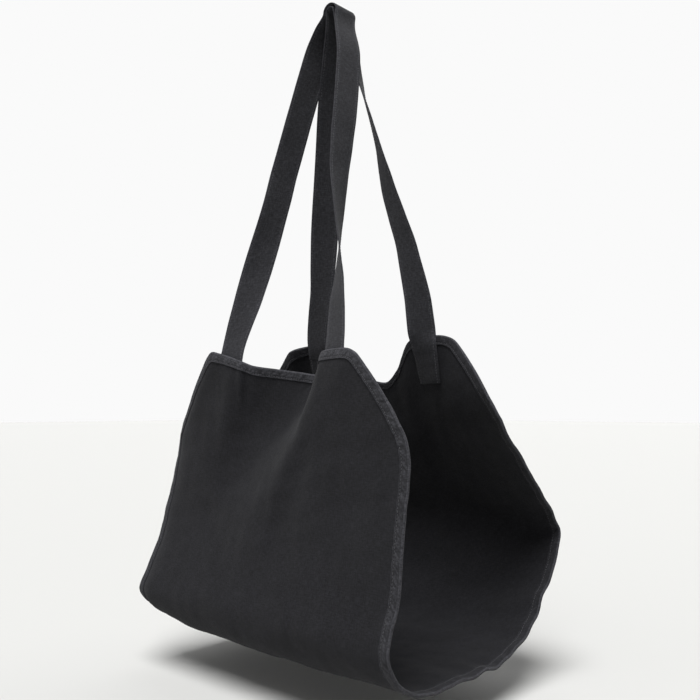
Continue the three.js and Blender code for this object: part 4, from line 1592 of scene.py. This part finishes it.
@dataclass(frozen=True)
class Studio:
    """A pale floor, soft studio light and the camera at the photograph's viewing angle."""

    lens: float = 40.596
    camera_place: tuple[float, float, float] = (0.7472, -0.7846, -0.5620)
    azimuth: float = 42.805
    pitch: float = 4.272
    sensor: float = 36
    floor_drop: float = 0.045
    floor_size: float = 40.0
    floor_colour: str = "#cacac8"
    backdrop_colour: str = "#fafafa"
    backdrop_strength: float = 1.0
    key_strength: float = 4.0
    fill_strength: float = 0.7
    back_strength: float = 1.3

    def build(self) -> None:
        """Builds the floor, the lights, the world and the camera."""
        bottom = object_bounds()[0].z - self.floor_drop
        bpy.ops.object.select_all(action="DESELECT")
        bpy.ops.mesh.primitive_plane_add(size=self.floor_size, location=(0, 0, bottom))
        floor = bpy.context.object
        floor.name = "studio_floor"
        floor.data.materials.append(self._floor_material())
        floor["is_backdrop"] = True
        for name, place, strength, softness in (
            ("key_light", (0.45, -0.9, 2.2), self.key_strength, 35),
            ("front_fill", (-0.9, -2.2, 0.4), self.fill_strength, 90),
            ("back_fill", (-0.6, 2.2, 1.3), self.back_strength, 90),
        ):
            bpy.ops.object.light_add(type="SUN", location=place)
            light = bpy.context.object
            light.name = name
            light.data.energy = strength
            light.data.angle = math.radians(softness)
            light.rotation_euler = (-Vector(place)).to_track_quat("-Z", "Y").to_euler()
        world = bpy.data.worlds.new("pale_studio")
        bpy.context.scene.world = world
        world.use_nodes = True
        background = world.node_tree.nodes["Background"]
        background.inputs["Color"].default_value = linear_colour(self.backdrop_colour)
        background.inputs["Strength"].default_value = self.backdrop_strength
        # The backdrop is only looked at and lights nothing, so the inside of the carrier stays dark.
        world.cycles_visibility.diffuse = False
        bpy.context.scene.view_settings.view_transform = "Standard"
        self._camera()

    def _floor_material(self) -> bpy.types.Material:
        """Matt pale paper, as rolled out on a studio floor: even, with no shine.

        Returns:
            The material.
        """
        material = bpy.data.materials.new("matt_studio_paper")
        material.use_nodes = True
        shader = material.node_tree.nodes["Principled BSDF"]
        shader.inputs["Base Color"].default_value = linear_colour(self.floor_colour)
        shader.inputs["Roughness"].default_value = 0.9
        return material

    def _camera(self) -> None:
        """Places the camera at the photograph's viewing angle."""
        data = bpy.data.cameras.new("camera")
        data.lens = self.lens
        data.sensor_width = self.sensor
        data.clip_end = 100
        camera = bpy.data.objects.new("camera", data)
        bpy.context.scene.collection.objects.link(camera)
        turn, tilt = math.radians(self.azimuth), math.radians(self.pitch)
        ahead = Vector((
            -math.sin(turn) * math.cos(tilt), math.cos(turn) * math.cos(tilt), math.sin(tilt)))
        camera.location = self.camera_place
        camera.rotation_euler = ahead.to_track_quat("-Z", "Y").to_euler()
        bpy.context.scene.camera = camera


# Heavy plain-woven cotton, dyed black: flat and matt, a little cloudy, grey where it is rubbed, and with
# a painted highlight on the crests of its folds; its weave is darker between the threads as painted
# shade.
CANVAS = WovenFinish(
    name="black_cotton_duck_canvas", colour="#1a1a1d", worn_and_lit_colour="#2d2d31", thread=1.3 * MM,
    weave_depth=0.16 * MM, roughness=0.92, sheen=0.03,
)
# The same canvas in the folded hem, washed and rubbed harder: speckled, and paler on its ridges, as wear
# and as a painted highlight.
HEM_CANVAS = WovenFinish(
    name="washed_black_canvas_hem", colour="#1e1e21", worn_and_lit_colour="#4c4c51", thread=1.3 * MM,
    weave_depth=0.18 * MM, roughness=0.9, sheen=0.04, slub=2.6 * MM, speckle=0.34,
)
# The same canvas folded to straps and pressed flat: smoother and a shade paler, paler again at the edges
# as wear and a painted highlight, and kept dark on the sewn tails as painted shade.
STRAP_CANVAS = WovenFinish(
    name="folded_black_canvas_strap", colour="#28282b", worn_and_lit_colour="#414146", thread=1.2 * MM,
    weave_depth=0.15 * MM, roughness=0.9, sheen=0.04, slub=4 * MM,
)


def main() -> None:
    """Builds the carrier's pieces in order, and the studio round them."""
    logging.basicConfig(level=logging.INFO)
    cloth = HungCloth(PanelCut(), HungSizes(), ClothRelief())
    body = BodyPanel(cloth)
    panel = dressed(body.build(), CANVAS.material())
    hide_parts("body_panel")
    LOG.info("panel: %d faces", len(panel.data.polygons))
    binding = EdgeBinding(cloth)
    hem = dressed(binding.build(), HEM_CANVAS.material())
    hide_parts("edge_binding")
    LOG.info("hem: %d faces", len(hem.data.polygons))
    thread = ThreadFinish().material()
    hem_stitching = Stitching()
    binding.stitches(hem_stitching)
    hem_thread = dressed(hem_stitching.build("hem_stitching"), thread)
    strap_material = STRAP_CANVAS.material()
    for handle in (
        Handle("front_strap", Wall.FRONT, cloth, LEGS["front_far"], LEGS["front_near"], 5 * MM),
        Handle("back_strap", Wall.BACK, cloth, LEGS["back_far"], LEGS["back_near"], 0),
    ):
        strap = dressed(handle.build(), strap_material)
        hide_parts(handle.name.replace("strap", "handle"))
        rows = Stitching(pitch=4 * MM)
        handle.stitches(rows)
        sewn = dressed(rows.build(f"{handle.name}_stitching"), thread)
        handle.flat_length()
        LOG.info("%s: %d and %d faces", handle.name, len(strap.data.polygons), len(sewn.data.polygons))
    Studio().build()


if __name__ == "__main__":
    main()
